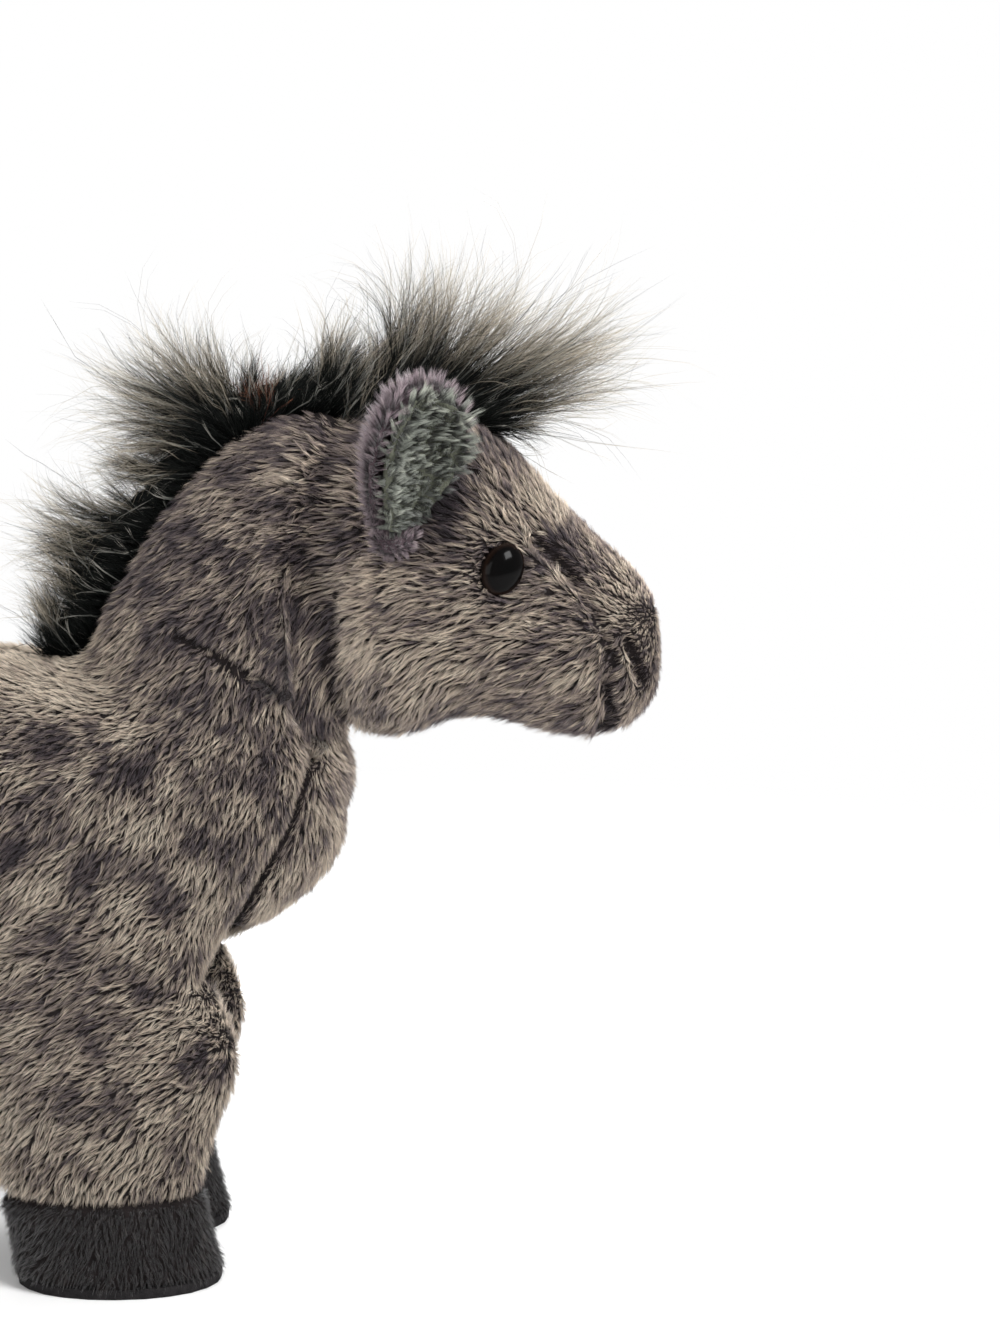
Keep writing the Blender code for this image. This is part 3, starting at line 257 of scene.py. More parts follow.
def eye_material():
    """Near-black plastic with a thin brown rim, which is a painted glint."""
    graph = Graph("eye_plastic")
    coords = graph.add("ShaderNodeTexCoord")
    split = graph.add("ShaderNodeSeparateXYZ")
    graph.link(coords.outputs["UV"], split.inputs["Vector"])
    graph.colour(graph.ramp(split.outputs["X"], EYE_BLACK_AND_GLINT))
    graph.bump(graph.noise(900.0, 1.0), 0.03, 0.0002)
    return graph.finish(0.13, specular=0.06)


def washer_material():
    """Milky plastic."""
    graph = Graph("washer_plastic")
    light = linear(226, 224, 218)
    dark = tuple(c * 0.9 for c in light[:3]) + (1.0,)
    graph.colour(graph.ramp(graph.noise(300.0), [(0.3, light), (0.8, dark)]))
    return graph.finish(0.45)


COAT_PILE = pile_material("coat_pile", toned(
    (0.00, (58, 49, 56)), (0.25, (102, 90, 95)), (0.50, (162, 146, 138)), (0.75, (220, 202, 182)),
    (1.00, (248, 233, 213)),
), 0.10)
HOOF_PILE = pile_material(
    "hoof_pile", toned((0.0, (34, 32, 34)), (0.6, (58, 55, 56)), (1.0, (92, 86, 84))), 0.2
)
EAR_PILE = pile_material(
    "ear_pile", toned((0.0, (86, 74, 80)), (0.5, (132, 116, 122)), (1.0, (176, 162, 160))), 0.25
)
LINING_PILE = pile_material(
    "lining_pile", toned((0.0, (62, 66, 60)), (0.5, (128, 132, 122)), (1.0, (190, 192, 178))), 0.2
)
MANE_PILE = tipped_material(
    "mane_pile",
    toned(
        (0.00, (7, 9, 8)), (0.50, (16, 18, 17)), (0.56, (64, 66, 63)), (0.84, (112, 113, 108)),
        (0.90, (78, 44, 36)),
    ),
    toned(
        (0.00, (14, 17, 16)), (0.28, (38, 41, 38)), (0.50, (206, 194, 174)), (0.56, (120, 120, 114)),
        (0.84, (232, 227, 216)), (0.92, (150, 104, 84)),
    ),
    [(0.38, grey(0.0)), (0.66, grey(0.50)), (0.88, grey(1.0))],
)
# The backing cloth of the coat, coloured near black as painted shade between the strands and in the creases.
COAT_BACKING_SHADE = backing_material("coat_backing_shade", (18, 15, 15), (36, 31, 31))
HOOF_BACKING = backing_material("hoof_backing", (26, 25, 26), (44, 42, 43))
MANE_BACKING = backing_material("mane_backing", (12, 13, 13), (24, 26, 25))
EAR_BACKING = backing_material("ear_backing", (62, 52, 57), (92, 80, 84))
LINING_BACKING = backing_material("lining_backing", (62, 64, 56), (96, 98, 86))
EYE_PLASTIC = eye_material()
WASHER_PLASTIC = washer_material()


# Mesh helpers


def link(obj):
    bpy.context.scene.collection.objects.link(obj)
    return obj


def object_from(name, bm, material=None):
    mesh = bpy.data.meshes.new(name)
    bm.to_mesh(mesh)
    bm.free()
    mesh.polygons.foreach_set("use_smooth", np.ones(len(mesh.polygons), bool))
    if material:
        mesh.materials.append(material)
    return link(bpy.data.objects.new(name, mesh))


def copy_of(name, node_names, material=None):
    """One object with the welded solids of these nodes."""
    bm = bmesh.new()
    for node in node_names:
        bm.from_mesh(NODES[node].data)
    bmesh.ops.remove_doubles(bm, verts=bm.verts, dist=0.000004)
    bmesh.ops.recalc_face_normals(bm, faces=bm.faces)
    return object_from(name, bm, material)


def apply_modifiers(obj):
    """Puts the shape that the modifiers give into the mesh."""
    depsgraph = bpy.context.evaluated_depsgraph_get()
    mesh = bpy.data.meshes.new_from_object(obj.evaluated_get(depsgraph))
    obj.modifiers.clear()
    obj.data = mesh
    mesh.polygons.foreach_set("use_smooth", np.ones(len(mesh.polygons), bool))


def modify(obj, kind, **settings):
    modifier = obj.modifiers.new(kind.lower(), kind)
    for key, value in settings.items():
        setattr(modifier, key, value)


def displace(obj, amount):
    modify(obj, "DISPLACE", mid_level=0, strength=amount)


def remesh(obj, voxel):
    modify(obj, "REMESH", mode="VOXEL", voxel_size=voxel, use_smooth_shade=True)


def smooth(obj, rounds):
    modify(obj, "SMOOTH", factor=0.5, iterations=rounds)


def points_of(mesh):
    co = np.empty(len(mesh.vertices) * 3)
    mesh.vertices.foreach_get("co", co)
    return co.reshape(-1, 3)


def normals_of(mesh):
    out = np.empty(len(mesh.vertices) * 3, np.float32)
    mesh.vertices.foreach_get("normal", out)
    return out.reshape(-1, 3).astype(float)


def put_points(mesh, co):
    mesh.vertices.foreach_set("co", co.astype(np.float32).ravel())
    mesh.update()


def triangles_of(mesh):
    mesh.calc_loop_triangles()
    tri = np.empty(len(mesh.loop_triangles) * 3, np.int32)
    mesh.loop_triangles.foreach_get("vertices", tri)
    return tri.reshape(-1, 3)


def tree_of(obj):
    return BVHTree.FromPolygons([v.co for v in obj.data.vertices], triangles_of(obj.data).tolist())


def finder_of(points):
    """Finds the nearest of these points."""
    tree = KDTree(len(points))
    for i, point in enumerate(points):
        tree.insert(point, i)
    tree.balance()
    return tree


def line_distance(x, z, line):
    """Distance in side view, in mm, of each point to a broken line."""
    best = np.full(len(x), 1e9)
    for (x0, z0), (x1, z1) in zip(line, line[1:]):
        dx, dz = x1 - x0, z1 - z0
        t = np.clip(((x - x0) * dx + (z - z0) * dz) / (dx * dx + dz * dz), 0, 1)
        best = np.minimum(best, np.hypot(x - x0 - t * dx, z - z0 - t * dz))
    return best


def closeness(distance, width):
    """1 on a line and 0 away from it."""
    return np.exp(-((distance / width) ** 2))


def rise(value, low, high):
    """0 below low and 1 above high, with a smooth step between them."""
    t = np.clip((value - low) / (high - low), 0, 1)
    return t * t * (3 - 2 * t)


# Seams and folds in side view, in mm, as (x, z) lines
CHEST_SEAM = ((43.6, 114.1), (40.8, 103.4), (37.4, 93.3), (31.2, 82.1), (24.5, 69.7), (19.0, 60.0))
SHOULDER_FOLD = ((14.0, 134.0), (20.0, 131.6), (32.0, 123.0), (43.6, 114.1))
FACE_SEAM = (
    (86.0, 166.0), (90.9, 152.6), (97.2, 146.3), (102.5, 138.9), (104.6, 132.6), (106.3, 129.5),
    (105.0, 122.1), (104.2, 110.0),
)
EYE_DART = ((90.4, 153.2), (94.5, 149.4), (98.8, 145.0))
NOSTRIL_FRONT = ((109.3, 132.2), (110.4, 129.0), (112.2, 124.0))
NOSTRIL_BACK = ((105.2, 130.6), (106.4, 128.4))
MOUTH = ((104.8, 123.4), (105.2, 119.6), (106.4, 117.0), (104.0, 113.8))
EAR_SEAM = ((66.0, 172.0), (73.0, 169.5), (78.5, 167.0))
HEAD_SEAM = ((55.0, 158.0), (53.0, 152.6), (47.8, 141.0), (46.7, 124.2), (48.8, 113.7))
# Those of the face with their width in mm and their share of the depth
FACE_LINES = (
    (EYE_DART, 1.2, 1.0), (NOSTRIL_FRONT, 1.1, 1.0), (NOSTRIL_BACK, 1.0, 0.8), (MOUTH, 1.1, 0.9),
    (EAR_SEAM, 0.9, 0.6),
)


# Backing of the coat


def regain(skin, node_names):
    """Brings a skin out to the solids' surface again where rounding drew it in."""
    solids = copy_of("solids", node_names)
    tree = tree_of(solids)
    co, normal = points_of(skin.data), normals_of(skin.data)
    out = np.zeros(len(co))
    for i in range(len(co)):
        hit = tree.ray_cast(Vector(co[i]), Vector(normal[i]), 3.0 * MM)
        if hit[0] is not None and hit[1].dot(Vector(normal[i])) > 0.3:
            out[i] = hit[3]
    edges = np.empty(len(skin.data.edges) * 2, np.int32)
    skin.data.edges.foreach_get("vertices", edges)
    a, b = edges.reshape(-1, 2).T
    count = np.bincount(a, minlength=len(co)) + np.bincount(b, minlength=len(co)) + 1
    for _ in range(5):
        out = (out + np.bincount(a, out[b], len(co)) + np.bincount(b, out[a], len(co))) / count
    put_points(skin.data, co + normal * out[:, None])
    bpy.data.objects.remove(solids, do_unlink=True)


def add_pad(skin, centre, radii):
    """Adds a rounded pad of stuffing to a skin before it closes, with its faces in the same order each run."""
    place = Matrix.Translation(Vector(centre) * MM) @ Matrix.Diagonal((*(r * MM for r in radii), 1))
    ball = bmesh.new()
    bmesh.ops.create_uvsphere(ball, u_segments=32, v_segments=20, radius=1, matrix=place)
    bm = bmesh.new()
    bm.from_mesh(skin.data)
    verts = [bm.verts.new(vert.co) for vert in ball.verts]
    for corners in sorted([vert.index for vert in face.verts] for face in ball.faces):
        bm.faces.new([verts[i] for i in corners])
    bm.to_mesh(skin.data)
    bm.free()
    ball.free()


def raise_crest(skin):
    """Fills the neck out under the mane, as in the photograph."""
    co, normal = points_of(skin.data), normals_of(skin.data)
    x = co[:, 0] / MM
    lift = np.interp(x, CREST_X, CREST_LIFT) * closeness(co[:, 1] / MM, 11) * (co[:, 2] > 122 * MM)
    lift *= rise(normal @ np.array((-0.42, 0.0, 0.91)), 0.1, 0.7)
    put_points(skin.data, co + normal * (lift * MM)[:, None])


def press(skin, share, depth):
    """Moves a skin inwards by a share of a depth."""
    co, normal = points_of(skin.data), normals_of(skin.data)
    put_points(skin.data, co - normal * (share(co) * depth)[:, None])


def backing(name, node_names, voxel, reach, inset, pads=()):
    """One soft skin over several solids, with the joints' gaps bridged."""
    skin = copy_of(name, node_names)
    for centre, radii in pads:
        add_pad(skin, centre, radii)
    displace(skin, reach)
    remesh(skin, voxel)
    apply_modifiers(skin)
    displace(skin, -reach)
    remesh(skin, voxel)
    smooth(skin, 6)
    apply_modifiers(skin)
    regain(skin, node_names)
    co, normal = points_of(skin.data), normals_of(skin.data)
    share = 1 - rise(-normal[:, 2], 0.6, 0.9) * (co[:, 2] < 10 * MM)
    put_points(skin.data, co - normal * (inset * share)[:, None])
    return skin


def swell(skin, held):
    """Lets a coarse copy swell as stuffed cloth, held along its seams, and gives the skin that shape."""
    coarse = link(bpy.data.objects.new("coarse", skin.data.copy()))
    remesh(coarse, CLOTH_VOXEL)
    apply_modifiers(coarse)
    start = points_of(coarse.data)
    group = coarse.vertex_groups.new(name="seams")
    for i, weight in enumerate(held(start)):
        group.add([i], float(weight), "REPLACE")
    cloth = coarse.modifiers.new("cloth", "CLOTH")
    for key, value in (
        ("use_pressure", True), ("uniform_pressure_force", 4), ("mass", 0.004), ("quality", 6),
        ("tension_stiffness", 4), ("compression_stiffness", 4), ("bending_stiffness", 0.05),
        ("vertex_group_mass", "seams"),
    ):
        setattr(cloth.settings, key, value)
    cloth.settings.effector_weights.gravity = 0
    cloth.point_cache.frame_start = 1
    cloth.point_cache.frame_end = CLOTH_FRAMES
    for number in range(1, CLOTH_FRAMES + 1):
        bpy.context.scene.frame_set(number)
    apply_modifiers(coarse)
    moved = points_of(coarse.data) - start
    length = np.linalg.norm(moved, axis=1)
    moved *= np.minimum(1, CLOTH_CAP / np.maximum(length, 1e-9))[:, None]
    finder = finder_of(start)
    co = points_of(skin.data)
    shift = np.zeros_like(co)
    for i, point in enumerate(co):
        found = finder.find_n(point, 5)
        weight = np.array([1 / (d + 0.0005) ** 2 for _, _, d in found])
        shift[i] = (moved[[j for _, j, _ in found]] * weight[:, None]).sum(0) / weight.sum()
    put_points(skin.data, co + shift)
    bpy.data.objects.remove(coarse, do_unlink=True)
    bpy.context.scene.frame_set(1)


def body_seams(co):
    """How close each point is to a seam of the body, from 0 to 1."""
    x, y, z = co[:, 0] / MM, co[:, 1] / MM, co[:, 2] / MM
    seen_x, seen_z = side_view(co)
    chest = closeness(line_distance(seen_x, seen_z, CHEST_SEAM), 1.3) * (np.abs(y) > 8) * (z < 116)
    fold = closeness(line_distance(seen_x, seen_z, SHOULDER_FOLD), 1.6) * (np.abs(y) > 6) * 0.9
    back = closeness(y, 1.2) * (z > 100) * (x < -13)
    hoof = closeness(z - HOOF_TOP / MM, 1.1)
    belly = closeness(np.abs(y) - 12.0, 1.2) * (z < 68) * (z > 55) * (x > -45) * (x < -26)
    return np.maximum.reduce([chest, fold, back * 0.8, hoof * 0.9, belly])


def head_seams(co):
    """How close each point is to a seam of the head, from 0 to 1."""
    y, low = co[:, 1] / MM, co[:, 2] / MM < 122
    x, z = side_view(co)
    side = np.abs(y) > 5
    face = closeness(line_distance(x, z, FACE_SEAM), 1.1) * side * (0.15 + 0.30 * rise(-z, -150, -138))
    lines = [closeness(line_distance(x, z, line), width) * side * share for line, width, share in FACE_LINES]
    under = closeness(y, 1.2) * low * 0.5
    return np.maximum.reduce([face, under, *lines])


def collar_seams(co):
    """How close each point is to the seam between neck and head, from 0 to 1."""
    x, z = side_view(co)
    return closeness(line_distance(x, z, HEAD_SEAM), 1.3) * (np.abs(co[:, 1]) > 3 * MM) * 0.6


def body_creases(co):
    """Where the body's pile parts over a seam."""
    x, z = side_view(co)
    y, low = np.abs(co[:, 1]) / MM, co[:, 2] < 118 * MM
    chest = closeness(line_distance(x, z, CHEST_SEAM), 0.50) * low
    fold = closeness(line_distance(x, z, SHOULDER_FOLD), 0.42) * rise(x, 19, 24)
    return np.maximum(chest, fold) * (y > 8)


def head_creases(co):
    """Where the head's pile parts over a dart or a pulled stitch."""
    x, z = side_view(co)
    lines = (EYE_DART, NOSTRIL_FRONT, NOSTRIL_BACK, MOUTH)
    far = np.min([line_distance(x, z, line) for line in lines], axis=0)
    return closeness(far, 0.36) * (np.abs(co[:, 1]) > 5 * MM)


def face_share(co):
    """How long the head's pile is for the place, as a share of its full length."""
    x, z = side_view(co)
    return 1 - 0.26 * rise(x + z * 0.5, 168, 178) - 0.22 * rise(x, 100, 110)


def collar_edge(co):
    """How near each point is to the border of the band that bridges neck and head."""
    x, z = co[:, 0] / MM, co[:, 2] / MM
    low = np.where(x > 46, 117, 112)
    return np.minimum(1, rise(x, 51.5, 57) + rise(-x, -37, -31) + rise(low - z, -5, 0))


SIDES = {"right": -1, "left": 1}


def eye_place(side_name):
    """The middle of an eye's rim and the way it looks, from its solid."""
    side = SIDES[side_name]
    turn, tilt = math.radians(20), math.radians(6)
    out = Vector((math.sin(turn), side * math.cos(turn) * math.cos(tilt), math.sin(tilt))).normalized()
    co = points_of(NODES[f"eye_{side_name}"].data)
    reach = co @ np.array(out)
    rim = co[np.abs(reach - (reach.max() - 4.2 * MM)) < 0.3 * MM]
    return Vector(rim.mean(0)), out


EYES = {side_name: eye_place(side_name) for side_name in SIDES}


def from_eye(co):
    """Distance of each point to the nearer eye, in mm."""
    places = [np.array(place) for place, _ in EYES.values()]
    return np.min([np.linalg.norm(co - place, axis=1) for place in places], axis=0) / MM


def socket(co):
    """How near each point is to an eye's socket, from 0 to 1."""
    return closeness(from_eye(co), 6.5)


def split_skin(skin, regions, rest):
    """Divides a skin by its faces' places; each region is a name and a test."""
    bm = bmesh.new()
    bm.from_mesh(skin.data)
    centres = np.array([f.calc_center_median() for f in bm.faces])
    owner = np.full(len(centres), -1)
    for i, (_, test) in enumerate(regions):
        owner[(owner < 0) & test(centres)] = i
    bm.free()
    made = {}
    for i, name in [*enumerate(name for name, _ in regions), (-1, rest)]:
        part = bmesh.new()
        part.from_mesh(skin.data)
        part.faces.ensure_lookup_table()
        bmesh.ops.delete(part, geom=[part.faces[j] for j in np.nonzero(owner != i)[0]], context="FACES")
        made[name] = object_from(name, part, COAT_BACKING_SHADE)
    return made


def leg_test(leg):
    """The part of the body's skin that goes with a leg."""
    front = leg.startswith("fore")
    side = SIDES[leg.split("_")[1]]
    return lambda c: (c[:, 2] < LEG_TOP) & ((c[:, 0] > -35 * MM) == front) & (c[:, 1] * side > 0)


def neck_test(c):
    return c @ np.array(NECK_LINE) > NECK_START


def collar_test(c):
    """The band that bridges neck and head."""
    x, z = c[:, 0] / MM, c[:, 2] / MM
    return (x > 31) & (x < 57) & (z > 112) & ~((x > 46) & (z < 117))


LEGS = ["foreleg_right", "foreleg_left", "hindleg_right", "hindleg_left"]
HOOVES = [leg.replace("leg", "hoof") for leg in LEGS]
BODY_NODES = ["torso", "belly_gusset", "neck"] + LEGS + HOOVES

body_skin = backing("body_skin", BODY_NODES, BODY_VOXEL, CLOSE_REACH, BACKING_INSET, [CHEST_PAD])
head_skin = backing("head_skin", ["head", "nose_gusset"], HEAD_VOXEL, HEAD_REACH, HEAD_INSET)
collar_skin = backing("collar_skin", ["neck", "head"], HEAD_VOXEL, CLOSE_REACH, COLLAR_INSET)
raise_crest(body_skin)
raise_crest(collar_skin)
swell(body_skin, body_seams)
swell(head_skin, head_seams)
swell(collar_skin, collar_seams)
press(body_skin, body_seams, BODY_SEAM_DEPTH)
press(head_skin, head_seams, HEAD_SEAM_DEPTH)
press(collar_skin, collar_seams, COLLAR_SEAM_DEPTH)
press(collar_skin, collar_edge, COLLAR_EDGE_DEPTH)
press(head_skin, face_share, FACE_DEPTH)
press(head_skin, socket, SOCKET_DEPTH)
head_skin.data.materials.append(COAT_BACKING_SHADE)

# A skin for each body. The band over the neck's seam is cut from a skin of its own.
regions = [(f"{leg}_skin", leg_test(leg)) for leg in LEGS] + [("neck_skin", neck_test)]
skins = split_skin(body_skin, regions, "torso_skin")
skins["head_skin"] = head_skin
crest_tree = tree_of(body_skin)
skins.update(split_skin(collar_skin, [("collar_skin", collar_test)], "spare_skin"))
for spare in (body_skin, collar_skin, skins.pop("spare_skin")):
    bpy.data.objects.remove(spare, do_unlink=True)
head_tree, neck_tree, torso_tree, collar_tree = (
    tree_of(skins[f"{region}_skin"]) for region in ("head", "neck", "torso", "collar")
)


def bend(piece, region):
    """Sets a piece of the coat in place. Pieces of the torso and the head hang on their body; those of the
    neck, the collar and the legs hang on none.
    """
    if region == "neck":
        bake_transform(piece)
    elif region == "collar":
        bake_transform(piece)
    elif region in LEGS:
        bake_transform(piece)
    else:
        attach(piece, region)


STANDS_FOR = {
    "torso": ["torso", "belly_gusset", "pellet_bag"],
    "neck": ["neck"],
    "head": ["head", "nose_gusset"],
}
for leg, hoof in zip(LEGS, HOOVES):
    STANDS_FOR[leg] = [leg, hoof]


# Pile


def strand_mesh(name, points, radii, tone, material):
    """Closed tapered strands of three sides. Points are (strand, place along it, xyz)."""
    count, steps = points.shape[:2]
    heading = points[:, -1] - points[:, 0]
    heading /= np.maximum(np.linalg.norm(heading, axis=1), 1e-9)[:, None]
    helper = np.where(np.abs(heading[:, 2:]) < 0.9, [[0.0, 0.0, 1.0]], [[1.0, 0.0, 0.0]])
    across = np.cross(heading, helper)
    across /= np.linalg.norm(across, axis=1)[:, None]
    other = np.cross(heading, across)
    turn = RNG.random(count) * math.tau
    verts = np.empty((count, 3 * (steps - 1) + 1, 3))
    for corner in range(3):
        angle = turn + math.tau * corner / 3
        out = across * np.cos(angle)[:, None] + other * np.sin(angle)[:, None]
        for step in range(steps - 1):
            verts[:, 3 * step + corner] = points[:, step] + out * radii[:, step, None]
    verts[:, -1] = points[:, -1]
    faces = [(0, 2, 1)]
    for step in range(steps - 2):
        for corner in range(3):
            a, b = 3 * step + corner, 3 * step + (corner + 1) % 3
            faces += [(a, b, b + 3), (a, b + 3, a + 3)]
    last = 3 * (steps - 2)
    for corner in range(3):
        faces.append((last + corner, last + (corner + 1) % 3, verts.shape[1] - 1))
    faces = np.array(faces)
    along = np.append(np.repeat(np.arange(steps - 1) / (steps - 1), 3), 1.0)
    everything = (faces[None] + (np.arange(count) * verts.shape[1])[:, None, None]).reshape(-1)
    mesh = bpy.data.meshes.new(name)
    mesh.vertices.add(count * verts.shape[1])
    mesh.vertices.foreach_set("co", verts.astype(np.float32).ravel())
    mesh.loops.add(len(everything))
    mesh.loops.foreach_set("vertex_index", everything.astype(np.int32))
    total = len(everything) // 3
    mesh.polygons.add(total)
    mesh.polygons.foreach_set("loop_start", np.arange(0, total * 3, 3, dtype=np.int32))
    mesh.polygons.foreach_set("use_smooth", np.ones(total, bool))
    uv = np.empty((count, len(faces) * 3, 2), np.float32)
    uv[:, :, 0] = 0.02 + 0.96 * along[faces.ravel()]
    uv[:, :, 1] = np.clip(tone, 0.02, 0.98)[:, None]
    layer = mesh.uv_layers.new(name="OFBake")
    layer.data.foreach_set("uv", uv.ravel())
    mesh.update(calc_edges=True)
    mesh.materials.append(material)
    return link(bpy.data.objects.new(name, mesh))


def sample(obj, density):
    """Places spread over a mesh by area, their normals, and what carries values over from its vertices."""
    mesh = obj.data
    co, normal, tri = points_of(mesh), normals_of(mesh), triangles_of(mesh)
    a, b, c = (co[tri[:, i]] for i in range(3))
    area = np.linalg.norm(np.cross(b - a, c - a), axis=1) / 2
    wanted = area / MM**2 * density
    number = np.floor(wanted).astype(int) + (RNG.random(len(wanted)) < wanted % 1)
    pick = np.repeat(np.arange(len(tri)), number)
    u, v = RNG.random(len(pick)), RNG.random(len(pick))
    flip = u + v > 1
    u[flip], v[flip] = 1 - u[flip], 1 - v[flip]
    w = 1 - u - v
    shares = np.stack([w, u, v], axis=1)

    def carry(values):
        return np.einsum("ij,ij...->i...", shares, values[tri[pick]])

    out = carry(normal)
    return carry(co), out / np.linalg.norm(out, axis=1)[:, None], carry


def field(place, size, seed=0.0):
    """Smooth noise from -1 to 1 at each place, with features of this size in mm."""
    offset = Vector((seed * 7.3, seed * 3.1, seed * 5.7))
    scale = 1 / (size * MM)
    return np.array([noise.noise(Vector(p) * scale + offset) for p in place])


def spread(place, anchors, reach):
    """Mixes values given at anchors in side view, by nearness. Anchors are (x, z, value...)."""
    x, z = side_view(place)
    total = np.zeros(len(x))
    mixed = np.zeros((len(x), len(anchors[0]) - 2))
    for anchor in anchors:
        weight = 1 / ((x - anchor[0]) ** 2 + (z - anchor[1]) ** 2 + reach**2) ** 2
        total += weight
        mixed += weight[:, None] * np.array(anchor[2:])
    return mixed / total[:, None]


# Which way the pile is combed, in side view: x, z, and the heading in degrees, 180 towards the tail
BODY_COMB = (
    (45, 140, 235), (30, 160, 218), (15, 150, 225), (30, 176, 195), (8, 130, 232), (30, 130, 240),
    (45, 105, 250), (30, 90, 245), (10, 100, 240), (-10, 120, 212), (-30, 126, 190), (-30, 100, 222),
    (-60, 126, 188), (-88, 115, 215), (-97, 100, 262), (-75, 88, 240), (-45, 80, 210), (-40, 64, 192),
    (6, 76, 214), (8, 58, 200), (6, 40, 198), (4, 26, 216), (4, 8, 266), (-18, 44, 214), (-18, 24, 240),
    (-73, 60, 222), (-73, 40, 212), (-73, 24, 232), (-73, 8, 266), (24, 74, 226), (24, 42, 190),
)
HEAD_COMB = (
    (112, 130, 205), (110, 118, 208), (100, 114, 190), (104, 145, 172), (97, 158, 152), (85, 172, 142),
    (75, 180, 150), (95, 135, 186), (85, 125, 192), (75, 120, 200), (64, 114, 245), (55, 118, 252),
    (49, 130, 222), (52, 145, 195), (60, 140, 186), (65, 165, 160), (56, 175, 175), (80, 140, 183),
)


def comb(place, normal, anchors):
    """The pile's heading along the surface."""
    headed = [(x, z, math.cos(math.radians(a)), math.sin(math.radians(a))) for x, z, a in anchors]
    mixed = spread(place, headed, 6)
    flow = np.stack([mixed[:, 0], place[:, 1] * -6, mixed[:, 1]], axis=1)
    flow -= normal * (flow * normal).sum(1)[:, None]
    return flow / np.maximum(np.linalg.norm(flow, axis=1), 0.05)[:, None]


def turned(flow, normal, angle):
    """Headings turned on the surface."""
    return flow * np.cos(angle)[:, None] + np.cross(normal, flow) * np.sin(angle)[:, None]


def lay(place, normal, flow, length, lift):
    """Root and tip of each strand."""
    tip = place + (flow * np.cos(lift)[:, None] + normal * np.sin(lift)[:, None]) * length[:, None]
    return np.stack([place - normal * 0.25 * MM, tip], axis=1)


def owners(root, flow, size, streak):
    """The middle strand of each strand's clump. A larger streak draws the clumps out along the pile."""
    cell = np.round(root / CLUMP_CELL) * CLUMP_CELL
    along = ((root - cell) * flow).sum(1)
    squeezed = root - flow * (along * streak)[:, None]
    centres = RNG.choice(len(root), max(1, int(len(root) / size)), replace=False)
    finder = finder_of(squeezed[centres])
    nearest = centres[[finder.find(p)[1] for p in squeezed]]
    far = np.linalg.norm(root[nearest] - root, axis=1) > 3.5 * MM
    return np.where(far, np.arange(len(root)), nearest)


def gather_tips(points, flow, nearest, pull, along):
    """Draws the tips of a clump's strands together, mostly across the pile."""
    shift = points[nearest, -1] - points[:, -1]
    shift -= flow * ((shift * flow).sum(1) * (1 - along))[:, None]
    points[:, -1] += shift * np.reshape(pull, (-1, 1))
    return points


def clear_of(place, normal, others, reach):
    """False where another surface lies within reach above."""
    keep = np.ones(len(place), bool)
    for tree in others:
        for i in np.nonzero(keep)[0]:
            hit = tree.ray_cast(Vector(place[i] + normal[i] * 0.0002), Vector(normal[i]), reach)
            if hit[0] is not None:
                keep[i] = False
    return keep


# Darker and paler patches: x, z, radius in mm, change of tone
BODY_DAPPLES = (
    (22, 93, 7, -0.30), (5, 105, 5, -0.25), (-4, 86, 6, -0.30), (-14, 95, 8, -0.35), (12, 78, 6, -0.25),
    (-8, 70, 6, -0.22), (10, 60, 5, -0.25), (-22, 88, 6, -0.30), (-12, 112, 6, -0.25), (30, 105, 5, -0.20),
    (14, 118, 7, -0.15), (0, 50, 6, -0.20), (16, 44, 6, -0.22), (-4, 34, 7, -0.20), (26, 96, 4, 0.15),
    (-3, 96, 5, 0.22), (8, 92, 5, 0.20), (2, 76, 4, 0.20), (-16, 78, 5, 0.20), (14, 52, 5, 0.18),
    (3, 126, 8, 0.16), (-9, 122, 9, 0.22), (-20, 127, 9, 0.16), (24, 84, 4, 0.14), (20, 58, 5, 0.16),
)
# On the head some patches are painted light and shade: painted shadow under the ear (60 to 72, 153 to 162),
# beside the eye's dart (96, 151) and under the jaw (70 to 100, 112 to 117); painted light on the forehead (88,
# 160) and the nose bridge (107, 142).
HEAD_DAPPLES_AND_PAINTED_LIGHT = (
    (88, 160, 9, 0.14), (84, 170, 7, -0.10), (76, 178, 9, -0.18), (96, 151, 4, -0.24), (107, 142, 6, 0.14),
    (112, 131, 4, -0.08), (106, 116, 4, -0.08), (70, 112, 7, -0.20), (72, 162, 7, -0.30), (60, 156, 8, -0.35),
    (72, 153, 5, -0.30), (66, 128, 9, 0.16), (55, 132, 7, 0.16), (80, 133, 8, 0.12), (92, 140, 6, 0.12),
    (86, 117, 7, -0.24), (98, 128, 6, 0.12), (72, 140, 6, 0.12), (68, 158, 6, -0.45), (100, 112, 6, -0.20),
)


def tone_of(place, base, patch_table, mottle):
    """The coat's tone: its patches at their places, coarse mottles and fine ones. On the head the patches
    include painted light and shade.
    """
    x, z = side_view(place)
    tone = np.full(len(place), base)
    wobble = field(place, 6, 4) * 3.5
    for dx, dz, radius, change in patch_table:
        far = np.hypot(x - dx, z - dz) + wobble
        tone += change * (1 - rise(far, radius * 0.55, radius * 1.25))
    coarse = field(place, 7, 2)
    tone -= mottle * rise(coarse, 0.06, 0.20)
    tone += mottle * 0.7 * rise(-coarse, 0.10, 0.30)
    tone += field(place, 2.4, 3) * 0.24
    return tone


